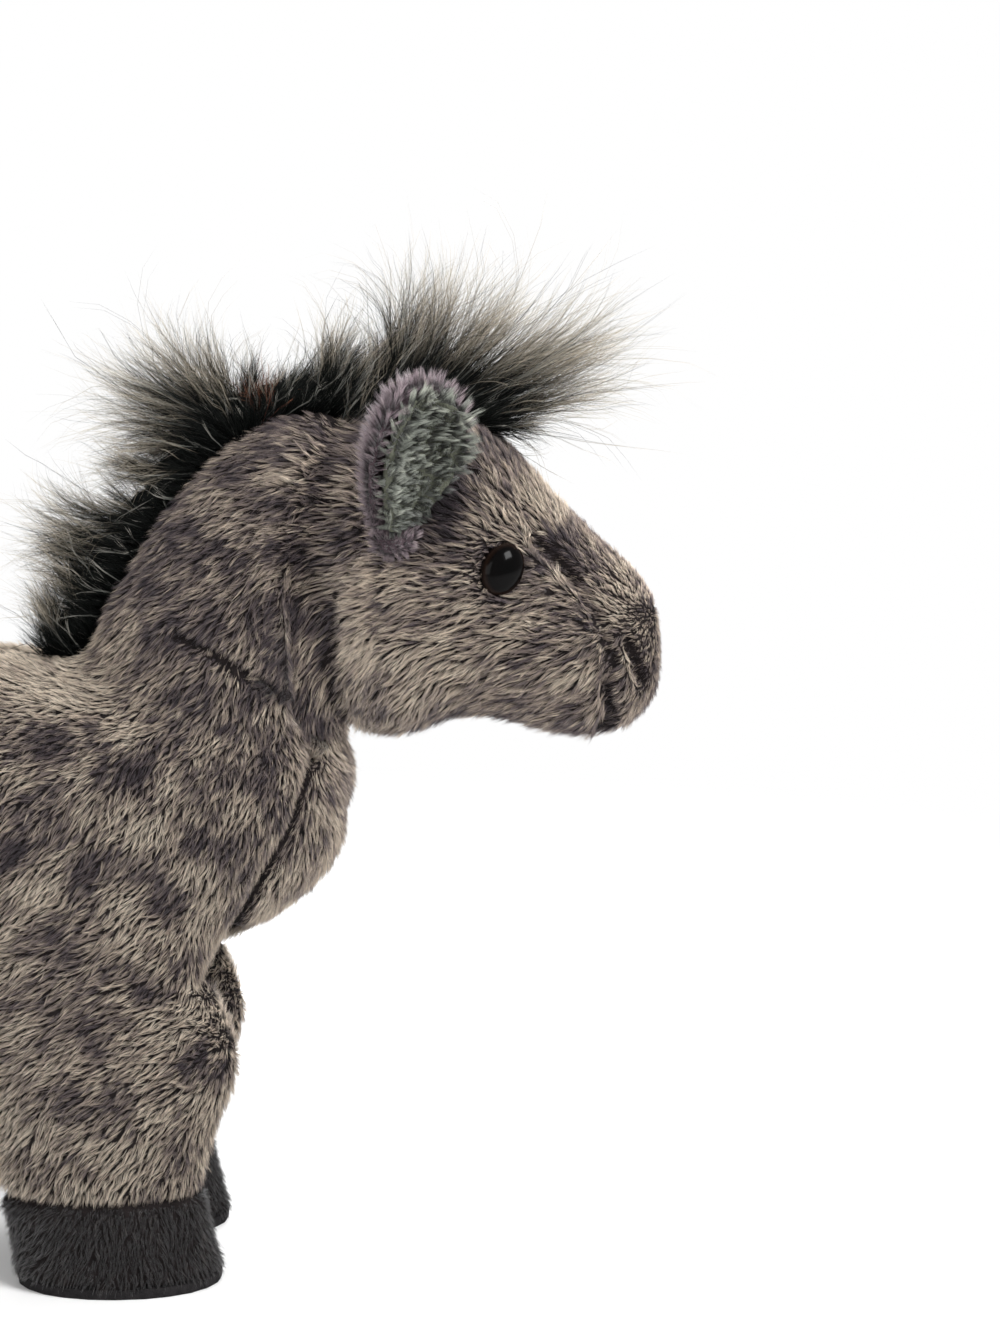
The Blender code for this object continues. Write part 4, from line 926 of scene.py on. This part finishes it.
def body_tone(place):
    """Darker on the neck, for its purple-grey cloth and with painted shade where it turns from the light;
    paler on the lower legs and the haunches; painted light makes the top of the back paler.
    """
    x, z = place[:, 0] / MM, place[:, 2] / MM
    along = place @ np.array(NECK_LINE) / MM
    # The neck's darkening is partly its purple-grey cloth and partly painted shade; the last term of the next
    # line is painted light on the top of the back.
    base = 0.60 - 0.22 * rise(along, 112, 135) + 0.08 * rise(-z, -60, -30)
    base += 0.06 + 0.10 * rise(-x, 20, 70) + 0.25 * rise(z, 126, 133) * rise(-x, 2, 14)
    return tone_of(place, 0.05, BODY_DAPPLES, 0.22) + base


# The head's tone, with the painted light and shade of its patch table.
def head_tone(place):
    return tone_of(place, 0.59, HEAD_DAPPLES_AND_PAINTED_LIGHT, 0.11)


def collar_tone(place):
    """The neck's tone behind the seam and the head's in front of it."""
    x, z = side_view(place)
    ahead = rise(x - 47.0 - np.maximum(0, z - 141) * 0.4, -1.5, 1.5)
    return head_tone(place) * ahead + body_tone(place) * (1 - ahead)


def under_collar(co):
    """Where the band over the neck seam already carries the pile."""
    x, z = co[:, 0] / MM, co[:, 2] / MM
    inside = (x > 39) & (x < 50) & (z > 116) & ~((x > 43) & (z < 122))
    for i in np.nonzero(inside)[0]:
        inside[i] = collar_tree.find_nearest(Vector(co[i]), 2.8 * MM)[0] is not None
    return inside


def body_length(place):
    z = place[:, 2] / MM
    return (3.3 - 0.3 * rise(-z, -60, -25)) * MM


def head_length(place):
    """Shorter behind the eyes and on the muzzle."""
    x, _ = side_view(place)
    behind = 1 - 0.40 * (1 - rise(from_eye(place), 6, 10)) * (x < 83)
    return 3.8 * MM * face_share(place) * behind


def hoof_length(place):
    return np.full(len(place), HOOF_PILE_LENGTH)


def hoof_tone(place):
    return 0.45 + 0.25 * field(place, 4, 6)


def head_limit(place, normal):
    """No pile where the eyes are, nor on the back of the head."""
    eye = np.zeros(len(place), bool)
    for centre, _ in EYES.values():
        gap = (place - np.array(centre)) / MM
        across = gap[:, 0] * 0.883 - gap[:, 2] * 0.469
        eye |= gap[:, 0] ** 2 + gap[:, 1] ** 2 + gap[:, 2] ** 2 + 0.75 * across**2 < 5.3**2
    behind = (normal[:, 0] < -0.75) & (place[:, 0] < 50 * MM)
    return ~(eye | behind)


def above_hoof(place, normal):
    return place[:, 2] > HOOF_TOP


def on_hoof(place, normal):
    """The hoof's wall, without the sole."""
    return (place[:, 2] <= HOOF_TOP) & ~((normal[:, 2] < -0.8) & (place[:, 2] < 6 * MM))


def everywhere(place, normal):
    return np.ones(len(place), bool)


def grow(name, region, density, lay_of, tone, covers=(), reach=0.0, material=COAT_PILE, limit=everywhere):
    """Covers a skin with pile and divides it into pieces of a fair size. What covers it keeps it bare."""
    anchors, length, seams, creases = lay_of
    skin = skins[f"{region}_skin"]
    place, normal, carry = sample(skin, DENSITY * density)
    co, out = points_of(skin.data), normals_of(skin.data)
    free = clear_of(co, out, covers, reach)
    if region in ("neck", "head"):
        free &= ~under_collar(co)
    keep = carry(free.astype(float)) > 0.5
    keep &= RNG.random(len(place)) > creases(place)
    keep &= limit(place, normal)
    wave = field(co, 7) * 0.40 + field(co, 3.0, 1) * 0.42
    flow = carry(comb(co, out, anchors))
    wave, lift, value = carry(wave), carry(0.12 * field(co, 4, 5)), carry(tone(co))
    place, normal, flow, wave, lift, value = (v[keep] for v in (place, normal, flow, wave, lift, value))
    count = len(place)
    near = seams(place)
    on_head = region in ("head", "collar")
    nearest = owners(place, flow, 8 if on_head else 6, 0.55 if on_head else 0.30)
    wave += RNG.normal(0, 0.22, count)[nearest] + RNG.normal(0, 0.07, count)
    flow = turned(flow, normal, wave)
    size = length(place) * (1 - 0.35 * near) * RNG.uniform(0.70, 1.15, count)
    for _ in range(2):
        over = np.max([creases(place + flow * size[:, None] * share) for share in (0.55, 1.0)], axis=0)
        size *= 1 - 0.36 * over
    size *= 1 + 0.15 * closeness(from_eye(place) - 5.0, 2.0)
    lift += (HEAD_LIFT if on_head else COAT_LIFT) - 0.22 * near
    lift += RNG.normal(0, 0.13, count)[nearest] + RNG.normal(0, 0.05, count)
    lift += 0.30 * closeness(from_eye(place) - 5.0, 2.2)
    pull = COAT_PULL * (1 - 0.7 * near)
    points = gather_tips(lay(place, normal, flow, size, lift), flow, nearest, pull, 0.40)
    # Painted shade: strands are darker along the seams, over the creases and round the eyes.
    value = value - 0.20 * near - 0.14 * over - 0.30 * closeness(from_eye(place) - 4.5, 1.6)
    value += RNG.normal(0, 0.08, count) + RNG.normal(0, 0.17, count)[nearest]
    radii = STRAND_RADIUS * RNG.uniform(0.75, 1.25, (count, 1))
    order = np.argsort(place[:, 0] + place[:, 2] * 0.3)
    pieces = max(1, math.ceil(count / PIECE_STRANDS))
    for i, part in enumerate(np.array_split(order, pieces)):
        piece = strand_mesh(f"{name}_{i + 1}", points[part], radii[part], value[part], material)
        bend(piece, region)


HEAD_LAY = (HEAD_COMB, head_length, head_seams, head_creases)
COLLAR_LAY = (HEAD_COMB, head_length, collar_seams, head_creases)
BODY_LAY = (BODY_COMB, body_length, body_seams, body_creases)
HOOF_LAY = (BODY_COMB, hoof_length, body_seams, body_creases)

grow("head_coat", "head", 1.35, HEAD_LAY, head_tone, [neck_tree, torso_tree], COVER_REACH, limit=head_limit)
grow("collar_coat", "collar", 1.3, COLLAR_LAY, collar_tone, [torso_tree], COLLAR_COVER_REACH)
grow("neck_coat", "neck", 1.2, BODY_LAY, body_tone, [head_tree], COVER_REACH)
grow("torso_coat", "torso", 1.0, BODY_LAY, body_tone, [head_tree], COVER_REACH)
for leg, hoof in zip(LEGS, HOOVES):
    grow(f"{leg}_coat", leg, 1.0, BODY_LAY, body_tone, limit=above_hoof)
    grow(f"{hoof}_pile", leg, 1.0, HOOF_LAY, hoof_tone, material=HOOF_PILE, limit=on_hoof)

for region in ["torso", "neck", "collar", "head"] + LEGS:
    skin = skins[f"{region}_skin"]
    bend(skin, region)
    if region in STANDS_FOR:
        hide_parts(*STANDS_FOR[region])


# Soles


def make_sole(leg):
    """A felt disc that is sewn round its edge."""
    node = leg.replace("leg", "sole")
    sole = copy_of(f"{node}_felt", [node], HOOF_BACKING)
    low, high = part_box(node)
    middle = (low + high) / 2
    shrink = Matrix.Diagonal((0.95, 0.93, 1, 1))
    sole.data.transform(Matrix.Translation(middle) @ shrink @ Matrix.Translation(-middle))
    modify(sole, "BEVEL", width=0.5 * MM, segments=2, limit_method="ANGLE")
    apply_modifiers(sole)
    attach(sole, leg)
    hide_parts(node)


for leg in LEGS:
    make_sole(leg)


# Eyes


EYE_RADIUS = 5.7
EYE_DOME = 3.1
EYE_STEPS = 40
EYE_SINK = 2.0 * MM
EYE_NARROW = 0.80
EYE_TILT = math.radians(28)


def make_eye(side_name):
    """A glossy dome with a brown rim that is a painted glint, narrowed where the plush laps over its sides."""
    centre, out = EYES[side_name]
    centre = centre - out * EYE_SINK
    bm = bmesh.new()
    profile = [
        (EYE_RADIUS * math.sin(a), EYE_DOME * math.cos(a) + 0.8) for a in np.linspace(0, math.pi / 2, 14)
    ]
    profile += [(EYE_RADIUS, 0.3), (5.5, 0.0), (5.2, -1.2)]
    turns = [math.tau * i / EYE_STEPS for i in range(EYE_STEPS)]
    crown = bm.verts.new((0, 0, profile[0][1] * MM))
    rings = [
        [bm.verts.new((radius * MM * math.cos(a), radius * MM * math.sin(a), height * MM)) for a in turns]
        for radius, height in profile[1:]
    ]
    layer = bm.loops.layers.uv.new("place")
    for i in range(EYE_STEPS):
        j = (i + 1) % EYE_STEPS
        bm.faces.new((crown, rings[0][i], rings[0][j]))
        for low, high in zip(rings, rings[1:]):
            bm.faces.new((low[i], high[i], high[j], low[j]))
    bm.faces.new(list(reversed(rings[-1])))
    for face in bm.faces:
        for loop in face.loops:
            radius = math.hypot(loop.vert.co.x, loop.vert.co.y) / (EYE_RADIUS * MM)
            loop[layer].uv = (min(radius, 0.999), 0.5)
    bmesh.ops.recalc_face_normals(bm, faces=bm.faces)
    eye = object_from(f"eye_dome_{side_name}", bm, EYE_PLASTIC)
    tall = Vector((math.sin(EYE_TILT), 0, math.cos(EYE_TILT)))
    tall = (tall - out * tall.dot(out)).normalized()
    turn = Matrix((tall.cross(out), tall, out)).transposed().to_4x4()
    eye.data.transform(Matrix.Translation(centre) @ turn @ Matrix.Diagonal((EYE_NARROW, 1.0, 1.0, 1.0)))
    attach(eye, "head")
    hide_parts(f"eye_{side_name}")


for side_name in SIDES:
    make_eye(side_name)
    NODES[f"eye_washer_{side_name}"].material_slots[0].material = WASHER_PLASTIC


# Ears


# Layer, its backing, pile and slot, strands on each square millimetre, how far they curl and lift
EAR_LAYERS = (
    ("outer", EAR_BACKING, EAR_PILE, "ear_plush", 10.0, 0.35, 0.95),
    ("liner", LINING_BACKING, LINING_PILE, "ear_lining", 9.5, 0.9, 0.85),
)
EAR_PILE_LENGTH = 4.2 * MM


def ear_axis(side_name):
    """The way the ear grows, from its root to its tip."""
    co = points_of(NODES[f"ear_liner_{side_name}"].data)
    axis = np.linalg.svd(co - co.mean(0), full_matrices=False)[2][0]
    return axis * np.sign(axis[2])


def make_ear_layer(side_name, layer, backing_stuff, pile, slot, density, curl, lift):
    """One cloth of an ear, with its pile."""
    lined = layer == "liner"
    node = f"ear_{layer}_{side_name}"
    skin = copy_of(f"{node}_skin", [node], backing_stuff)
    remesh(skin, 0.8 * MM)
    smooth(skin, 4)
    apply_modifiers(skin)
    skin.data.materials.clear()
    skin.data.materials.append(backing_stuff)
    place, normal, _ = sample(skin, density * HAIR_SHARE)
    partner = NODES[f"ear_{'outer' if lined else 'liner'}_{side_name}"]
    keep = clear_of(place, normal, [tree_of(partner)], 1.6 * MM)
    place, normal = place[keep], normal[keep]
    count = len(place)
    up = np.array(ear_axis(side_name))
    flow = up - normal * (normal @ up)[:, None]
    flow /= np.maximum(np.linalg.norm(flow, axis=1), 0.2)[:, None]
    flow = turned(flow, normal, RNG.normal(0, curl * 0.4, count) + field(place, 1.8) * curl * 3)
    middle, half = (place.max(0) + place.min(0)) / 2, (place.max(0) - place.min(0)) / 2
    high = ((place - middle) @ up) / half[2]
    ahead = (place[:, 0] - middle[0]) / half[0]
    full = rise(0.6 * high + 0.5 * ahead, -0.5, 0.8) if lined else rise(high, -0.8, 0.9)
    length = EAR_PILE_LENGTH * RNG.uniform(0.7, 1.15, count) * (0.60 + 0.55 * full)
    lift = np.full(count, lift) + 0.15 * field(place, 2, 7)
    nearest = owners(place, flow, 8 + 14 * curl, 0.0)
    points = gather_tips(lay(place, normal, flow, length, lift), flow, nearest, 0.62 + 0.18 * curl, 1.0)
    value = 0.44 + 0.3 * field(place, 3, 2) + RNG.normal(0, 0.08, count)
    value += RNG.normal(0, 0.12, count)[nearest]
    # Painted shadow: the liner's lower front is darker, where the ear's hollow lies in shade.
    value -= 0.40 * rise(0.5 * ahead - high, 0.0, 1.0) * lined
    radii = STRAND_RADIUS * RNG.uniform(0.8, 1.2, (count, 1))
    piece = strand_mesh(f"{node}_pile", points, radii, value, pile)
    for part in (skin, piece):
        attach(part, f"ear_{side_name}")
    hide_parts(node)


for side_name in SIDES:
    for row in EAR_LAYERS:
        make_ear_layer(side_name, *row)


# Mane, forelock and tail

# Crest of the neck and poll: x, z of the root in mm, heading in degrees, length in mm
MANE_LINE = (
    (-12.5, 130.5, 112, 15), (-8.0, 134.5, 122, 17), (-3.0, 140.5, 140, 17), (3.0, 148.0, 154, 17),
    (8.0, 155.5, 158, 15), (13.0, 164.0, 150, 13), (19.0, 171.5, 148, 15), (26.0, 177.5, 128, 17),
    (33.0, 180.8, 74, 16), (40.0, 182.5, 52, 18), (48.0, 183.5, 48, 20), (54.0, 183.5, 54, 21),
)
FORELOCK_LINE = (
    (55.5, 183.5, 70, 21), (61.0, 183.5, 66, 21), (67.0, 183.0, 60, 21), (73.0, 181.5, 44, 20),
    (77.0, 179.0, 24, 18),
)
# Tufts: x, z of the root, heading, length, spread in degrees, share of pale tips
MANE_TUFTS = (
    (-11.0, 132.0, 108, 22, 6, 0.50), (-9.5, 133.5, 116, 20, 5, 0.45), (-4.0, 139.0, 132, 23, 6, 0.35),
    (-1.0, 142.0, 142, 27, 6, 0.40), (3.5, 148.5, 156, 30, 6, 0.40), (6.5, 152.0, 163, 33, 5, 0.45),
    (8.6, 156.0, 165, 31, 5, 0.45), (9.5, 158.0, 150, 20, 9, 0.25), (14.3, 166.0, 157, 25, 6, 0.40),
    (17.0, 169.0, 176, 20, 8, 0.40), (20.5, 172.5, 150, 22, 10, 0.30), (22.5, 174.5, 176, 35, 5, 0.50),
    (24.0, 176.0, 165, 38, 5, 0.50), (24.8, 176.8, 155, 42, 4, 0.50), (25.5, 177.3, 143, 37, 6, 0.45),
    (26.0, 177.8, 130, 37, 5, 0.50), (27.0, 178.5, 115, 27, 5, 0.70), (29.2, 181.0, 89, 23, 2, 0.10),
    (32.0, 181.2, 92, 16, 12, 0.15), (34.0, 181.8, 50, 24, 9, 0.15), (37.0, 182.2, 42, 27, 8, 0.15),
    (40.5, 182.5, 46, 27, 8, 0.20), (43.6, 183.0, 74, 26, 6, 0.55), (46.0, 183.4, 44, 27, 8, 0.25),
    (50.0, 183.8, 50, 27, 8, 0.30), (53.5, 183.8, 72, 29, 6, 0.35),
)
FORELOCK_TUFTS = (
    (56.5, 184.0, 64, 29, 9, 0.35), (59.3, 184.8, 80, 41, 4, 0.50), (61.0, 184.5, 72, 34, 6, 0.65),
    (65.0, 184.0, 68, 37, 6, 0.85), (68.0, 183.6, 57, 36, 6, 0.90), (71.0, 183.0, 46, 37, 6, 0.90),
    (73.5, 182.0, 36, 45, 5, 0.90), (75.5, 180.5, 27, 48, 5, 0.90), (76.5, 179.0, 15, 43, 5, 0.85),
    (77.0, 178.0, 2, 20, 10, 0.40),
)


# What a strand's tone means in the mane's material
DARK_TONE = 0.22
PALE_TONE = (0.45, 0.51)
SILVER_TONE = (0.58, 0.84)
RUSTY_TONE = 0.95
RUSTY_X = 32
ROOT_SEARCH = 12 * MM


def follow(line, share):
    """Values along a table of places, by share of its count."""
    table = np.array(line, float)
    at = share * (len(table) - 1)
    low = np.clip(np.floor(at).astype(int), 0, len(table) - 2)
    t = (at - low)[:, None]
    return table[low] * (1 - t) + table[low + 1] * t


def surface_under(tree, x, y, z, heading):
    """Where the crest's surface is below places given in metres, looking back along their headings."""
    found = []
    for i in range(len(x)):
        ray = Vector((math.cos(heading[i]), 0, math.sin(heading[i])))
        place = Vector((x[i], y[i], z[i]))
        hit = tree.ray_cast(place + ray * ROOT_SEARCH, -ray, 2.5 * ROOT_SEARCH)[0]
        found.append(hit if hit is not None else place)
    return np.array(found)


def bowed(root, heading, splay, length, curl, sway, steps):
    """Long strands that leave in side view at a heading and bend along their length."""
    points = np.empty((len(root), steps, 3))
    points[:, 0] = root
    for step in range(1, steps):
        t = (step - 0.5) / (steps - 1)
        a, s = heading + curl * t * t * 1.6, splay + sway * t * 1.2
        direction = np.stack([np.cos(a) * np.cos(s), np.sin(s), np.sin(a) * np.cos(s)], axis=1)
        points[:, step] = points[:, step - 1] + direction * (length / (steps - 1))[:, None]
    return points


def gather(points, owner, tufts, pull):
    """Draws each tuft's strands towards its middle, more at the tips."""
    count = np.maximum(np.bincount(owner, minlength=tufts), 1)
    steps = points.shape[1]
    for step in range(1, steps):
        sums = [np.bincount(owner, points[:, step, axis], tufts) for axis in range(3)]
        middle = np.stack(sums, axis=1) / count[:, None]
        share = pull * step / (steps - 1) * RNG.uniform(0.4, 1.0, len(points))
        points[:, step] += (middle[owner] - points[:, step]) * share[:, None]
    return points


def put_pile(name, body, points, tone, radius):
    """Long strands as pieces of a fair size. A strand that would stand too high is shortened."""
    steps, root = points.shape[1], points[:, :1]
    rising = np.maximum(points[:, :, 2].max(axis=1) - root[:, 0, 2], 0.1 * MM)
    points = root + (points - root) * np.minimum(1, (PILE_TOP - root[:, 0, 2]) / rising)[:, None, None]
    thick = np.linspace(1.0, 0.40, steps - 1)[None] * RNG.uniform(0.70, 1.20, (len(points), 1)) * radius
    pieces = math.ceil(len(points) * (6 * steps - 8) / PIECE_TRIANGLES)
    for i, part in enumerate(np.array_split(np.argsort(points[:, 0, 0]), pieces)):
        piece = strand_mesh(f"{name}_{i + 1}", points[part], thick[part], tone[part], MANE_PILE)
        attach(piece, body)


def bundled(points, tone, each, width):
    """Splits every hair into a bundle of finer ones that part at the tips."""
    points, tone = np.repeat(points, each, axis=0), np.repeat(tone, each)
    along = np.linspace(0, 1, points.shape[1])
    aside = RNG.normal(0, width, (len(points), 1, 3))
    part = RNG.normal(0, width, (len(points), 1, 3)) * along[None, :, None] ** 2 * 2.2
    close = np.interp(along, (0, 0.4, 1), (1.0, 0.45, 0.55))[None, :, None]
    short = RNG.uniform(0.72, 1.0, (len(points), 1, 1))
    points = points[:, :1] + (points - points[:, :1]) * short + aside * close + part
    return points, np.clip(tone + RNG.normal(0, 0.02, len(tone)), 0.0, 0.98)


def dense_pile(name, body, line, tree, count, half_width):
    """The close dark lower pile of a mane."""
    base = follow(line, RNG.random(count))
    x, z = base[:, 0] + RNG.normal(0, 0.8, count), base[:, 1] + RNG.normal(0, 0.5, count)
    y = RNG.uniform(-1, 1, count)
    heading = np.radians(base[:, 2]) + RNG.normal(0, 0.38, count)
    root = surface_under(tree, x * MM, y * half_width * MM, z * MM, np.radians(base[:, 2]))
    wave = field(root, 5, 8)
    splay = y * 0.38 + RNG.normal(0, 0.14, count)
    length = base[:, 3] * MM * RNG.uniform(0.40, 0.92, count) * (0.9 + 0.55 * wave)
    curl, sway = RNG.normal(0, 0.35, count), RNG.normal(0, 0.2, count)
    points = bowed(root, heading + wave * 0.3, splay, length, curl, sway, 5)
    centres = RNG.integers(0, count, count // 22)
    finder = finder_of(root[centres])
    owner = np.array([finder.find(p)[1] for p in root])
    points = gather(points, owner, len(centres), 0.60)
    tone = np.abs(RNG.normal(0.05, 0.08, count))
    tone = np.where(RNG.random(count) < 0.07, RNG.uniform(*SILVER_TONE, count), np.minimum(tone, DARK_TONE))
    put_pile(name, body, *bundled(points, tone, 3, 0.12 * MM), 0.066 * MM)


def tuft_pile(name, body, tufts, tree, per_tuft, half_width):
    """Tufts that stand out of the mane and fan at their tips."""
    owner = np.repeat(np.arange(len(tufts) * 3), per_tuft // 3)
    table = np.repeat(np.array(tufts, float), 3, axis=0)
    row = np.tile([-1.0, 0.0, 1.0], len(tufts))
    lean = RNG.normal(0, 0.05, len(table))
    base = table[owner]
    count = len(base)
    x, z = base[:, 0] + RNG.normal(0, 1.3, count), base[:, 1] + RNG.normal(0, 0.6, count)
    y = row[owner] * 0.6 + RNG.normal(0, 0.28, count)
    root = surface_under(tree, x * MM, y * half_width * MM, z * MM, np.radians(base[:, 2]))
    stray = RNG.random(count) < 0.24
    spread_out = np.radians(base[:, 4]) * np.where(stray, 2.4, 1.0)
    heading = np.radians(base[:, 2]) + lean[owner] + RNG.normal(0, 1, count) * spread_out
    splay = row[owner] * 0.16 + RNG.normal(0, 0.12, count)
    chance = RNG.random(count)
    length = base[:, 3] * MM * RNG.triangular(0.35, 0.80, 1.15, count)
    length *= np.where((chance < base[:, 5]) | (chance > 0.86), 1.22, 0.92)
    curl = RNG.normal(0, 0.42, count) + RNG.normal(0, 0.30, len(table))[owner]
    points = bowed(root, heading, splay, length, curl, RNG.normal(0, 0.25, count), 8)
    tight = gather(points.copy(), owner, len(table), 0.66)
    points = np.where(stray[:, None, None], points, tight)
    points += RNG.normal(0, 0.40 * MM, (count, 8, 3)) * np.linspace(0, 1, 8)[None, :, None]
    tone = np.minimum(np.abs(RNG.normal(0.06, 0.08, count)), DARK_TONE)
    tone = np.where(chance < base[:, 5] * 0.80, RNG.uniform(*PALE_TONE, count), tone)
    tone = np.where(chance > 0.90, RNG.uniform(*SILVER_TONE, count), tone)
    rusty = (np.abs(base[:, 0] - RUSTY_X) < 2) & (RNG.random(count) < 0.6)
    put_pile(name, body, *bundled(points, np.where(rusty, RUSTY_TONE, tone), 3, 0.07 * MM), 0.050 * MM)


def dress_core(skin, node, body):
    """Puts a dark base in the place of its solid."""
    skin.data.materials.append(MANE_BACKING)
    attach(skin, body)
    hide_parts(node)


def ridge(name, node, body, line, tree, half_width):
    """The close dark base of the long pile: a rough low ridge along its seam."""
    rows, corners = 60, 14
    base = follow(line, np.linspace(0, 1, rows))
    heading = np.radians(base[:, 2])
    foot = surface_under(tree, base[:, 0] * MM, np.zeros(rows), base[:, 1] * MM, heading)
    bm = bmesh.new()
    rings = []
    for i in range(rows):
        out = Vector((math.cos(heading[i]), 0, math.sin(heading[i])))
        taper = min(1, math.sqrt((min(i, rows - 1 - i) + 0.5) / 5))
        height = base[i, 3] * RIDGE_SHARE * taper
        ring = []
        for angle in np.linspace(0, math.tau, corners, endpoint=False):
            up, aside = math.sin(angle), math.cos(angle) * half_width * taper
            place = Vector(foot[i]) + out * (max(up * height, up * 4) * MM)
            ring.append(bm.verts.new(place + Vector((0, aside * MM, 0))))
        rings.append(ring)
    for low, high in zip(rings, rings[1:]):
        for k in range(corners):
            after = (k + 1) % corners
            bm.faces.new((low[k], high[k], high[after], low[after]))
    bm.faces.new(rings[0])
    bm.faces.new(rings[-1])
    bmesh.ops.recalc_face_normals(bm, faces=bm.faces)
    skin = object_from(name, bm)
    remesh(skin, 0.8 * MM)
    apply_modifiers(skin)
    co, normal = points_of(skin.data), normals_of(skin.data)
    put_points(skin.data, co + normal * (field(co, 2.2, 9) * 0.9 * MM)[:, None])
    dress_core(skin, node, body)


def core(name, node, body, thin):
    """The close dark base of the tail."""
    skin = copy_of(name, [node])
    displace(skin, -thin)
    remesh(skin, 0.8 * MM)
    smooth(skin, 4)
    apply_modifiers(skin)
    dress_core(skin, node, body)


# Root of the tail's hairs and its spread, their length, and how they turn down over the tab
TAIL_ROOT = ((-100.5, 2.2), (0.0, 3.5), (115.5, 1.8))
TAIL_LENGTH = 66 * MM
TAIL_OUT = math.radians(212)
TAIL_TURN = math.radians(58)


def tail_pile():
    """The tail's hairs, which leave backwards and hang."""
    count, steps = TAIL_HAIRS, 8
    root = np.stack([RNG.normal(middle * MM, width * MM, count) for middle, width in TAIL_ROOT], axis=1)
    length = RNG.uniform(0.76, 1.04, count) * TAIL_LENGTH
    splay = RNG.normal(0, 0.20, count)
    points = np.empty((count, steps, 3))
    points[:, 0] = root
    for step in range(1, steps):
        t = (step - 0.5) / (steps - 1)
        drop = TAIL_OUT + (TAIL_TURN + 0.10 * RNG.normal(0, 1, count)) * min(1, t * 2.4)
        s = splay * (1 - 0.6 * t)
        direction = np.stack([np.cos(drop) * np.cos(s), np.sin(s), np.sin(drop) * np.cos(s)], axis=1)
        points[:, step] = points[:, step - 1] + direction * (length / (steps - 1))[:, None]
    tone = 0.30 + RNG.normal(0, 0.16, count)
    tone = np.where(RNG.random(count) < 0.14, RNG.uniform(0.6, 0.8, count), tone)
    radii = np.linspace(1.0, 0.45, steps - 1)[None] * RNG.uniform(0.75, 1.15, (count, 1)) * 0.13 * MM
    piece = strand_mesh("tail_pile", points, radii, tone, MANE_PILE)
    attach(piece, "tail")


core("tail_core", "tail", "tail", 0.6 * MM)
core("tail_root", "tail_dock", "tail_dock", 0.4 * MM)
ridge("mane_core", "mane", "neck", MANE_LINE, crest_tree, 3.4)
ridge("forelock_core", "forelock", "head", FORELOCK_LINE, head_tree, 3.0)
dense_pile("mane_base", "neck", MANE_LINE, crest_tree, int(6000 * HAIR_SHARE), 4.0)
dense_pile("forelock_base", "head", FORELOCK_LINE, head_tree, int(1900 * HAIR_SHARE), 3.8)
tuft_pile("mane_tuft", "neck", MANE_TUFTS, crest_tree, int(160 * HAIR_SHARE), 3.6)
tuft_pile("forelock_tuft", "head", FORELOCK_TUFTS, head_tree, int(140 * HAIR_SHARE), 3.6)
tail_pile()


# Floor, light and camera


def make_floor():
    """A pale round floor that turns white to the camera beyond the object's shadow."""
    bm = bmesh.new()
    bmesh.ops.create_circle(bm, cap_ends=True, segments=96, radius=3.0)
    graph = Graph("floor")
    graph.colour(graph.ramp(graph.noise(6.0), [(0.3, grey(0.86)), (0.7, grey(0.88))]))
    away = graph.add("ShaderNodeVectorMath", operation="LENGTH")
    graph.link(graph.add("ShaderNodeTexCoord").outputs["Object"], away.inputs[0])
    beyond = graph.add("ShaderNodeMapRange", interpolation_type="SMOOTHSTEP")
    beyond.inputs["From Min"].default_value, beyond.inputs["From Max"].default_value = SHADOW_REACH
    graph.link(away.outputs["Value"], beyond.inputs["Value"])
    seen = graph.add("ShaderNodeMath", operation="MULTIPLY")
    graph.link(graph.add("ShaderNodeLightPath").outputs["Is Camera Ray"], seen.inputs[0])
    graph.link(beyond.outputs["Result"], seen.inputs[1])
    mix = graph.add("ShaderNodeMixShader")
    graph.link(seen.outputs[0], mix.inputs[0])
    graph.link(graph.shader.outputs[0], mix.inputs[1])
    graph.link(graph.add("ShaderNodeEmission").outputs[0], mix.inputs[2])
    graph.link(mix.outputs[0], graph.nodes["Material Output"].inputs["Surface"])
    object_from("floor", bm, graph.finish(0.9, specular=0.1))


def lamp(name, place, aim, size, power):
    light = bpy.data.lights.new(name, "AREA")
    light.size = size
    light.energy = power
    obj = link(bpy.data.objects.new(name, light))
    obj.location = place
    obj.rotation_euler = (Vector(aim) - Vector(place)).to_track_quat("-Z", "Y").to_euler()


make_floor()
lamp("key", (0.62, -0.52, 0.80), (0.04, 0, 0.13), 0.40, 12.5)
lamp("fill", (-0.7, -0.7, 0.45), (0.0, 0, 0.10), 0.7, 4.5)
lamp("top", (0.05, 0.50, 0.90), (0.0, 0, 0.12), 0.6, 7.0)

world = bpy.data.worlds.new("studio")
world.use_nodes = True
tree = world.node_tree
background = tree.nodes["Background"]
background.inputs["Color"].default_value = (1, 1, 1, 1)
seen = tree.nodes.new("ShaderNodeLightPath")
strength = tree.nodes.new("ShaderNodeMapRange")
strength.inputs["To Min"].default_value = ROOM_LIGHT
strength.inputs["To Max"].default_value = 1.0
tree.links.new(seen.outputs["Is Camera Ray"], strength.inputs["Value"])
tree.links.new(strength.outputs["Result"], background.inputs["Strength"])
bpy.context.scene.world = world
bpy.context.scene.view_settings.view_transform = "Standard"

camera_data = bpy.data.cameras.new("camera")
camera_data.sensor_fit = "VERTICAL"
camera_data.sensor_height = 36
camera_data.lens = 36 * CAMERA_DISTANCE / FRAME_HEIGHT
camera_data.clip_start = 0.01
camera_data.clip_end = 20
camera = link(bpy.data.objects.new("camera", camera_data))
back = Vector(view_axes()[2])
camera.location = Vector(LOOK_AT) + back * CAMERA_DISTANCE
camera.rotation_euler = (-back).to_track_quat("-Z", "Y").to_euler()
bpy.context.scene.camera = camera
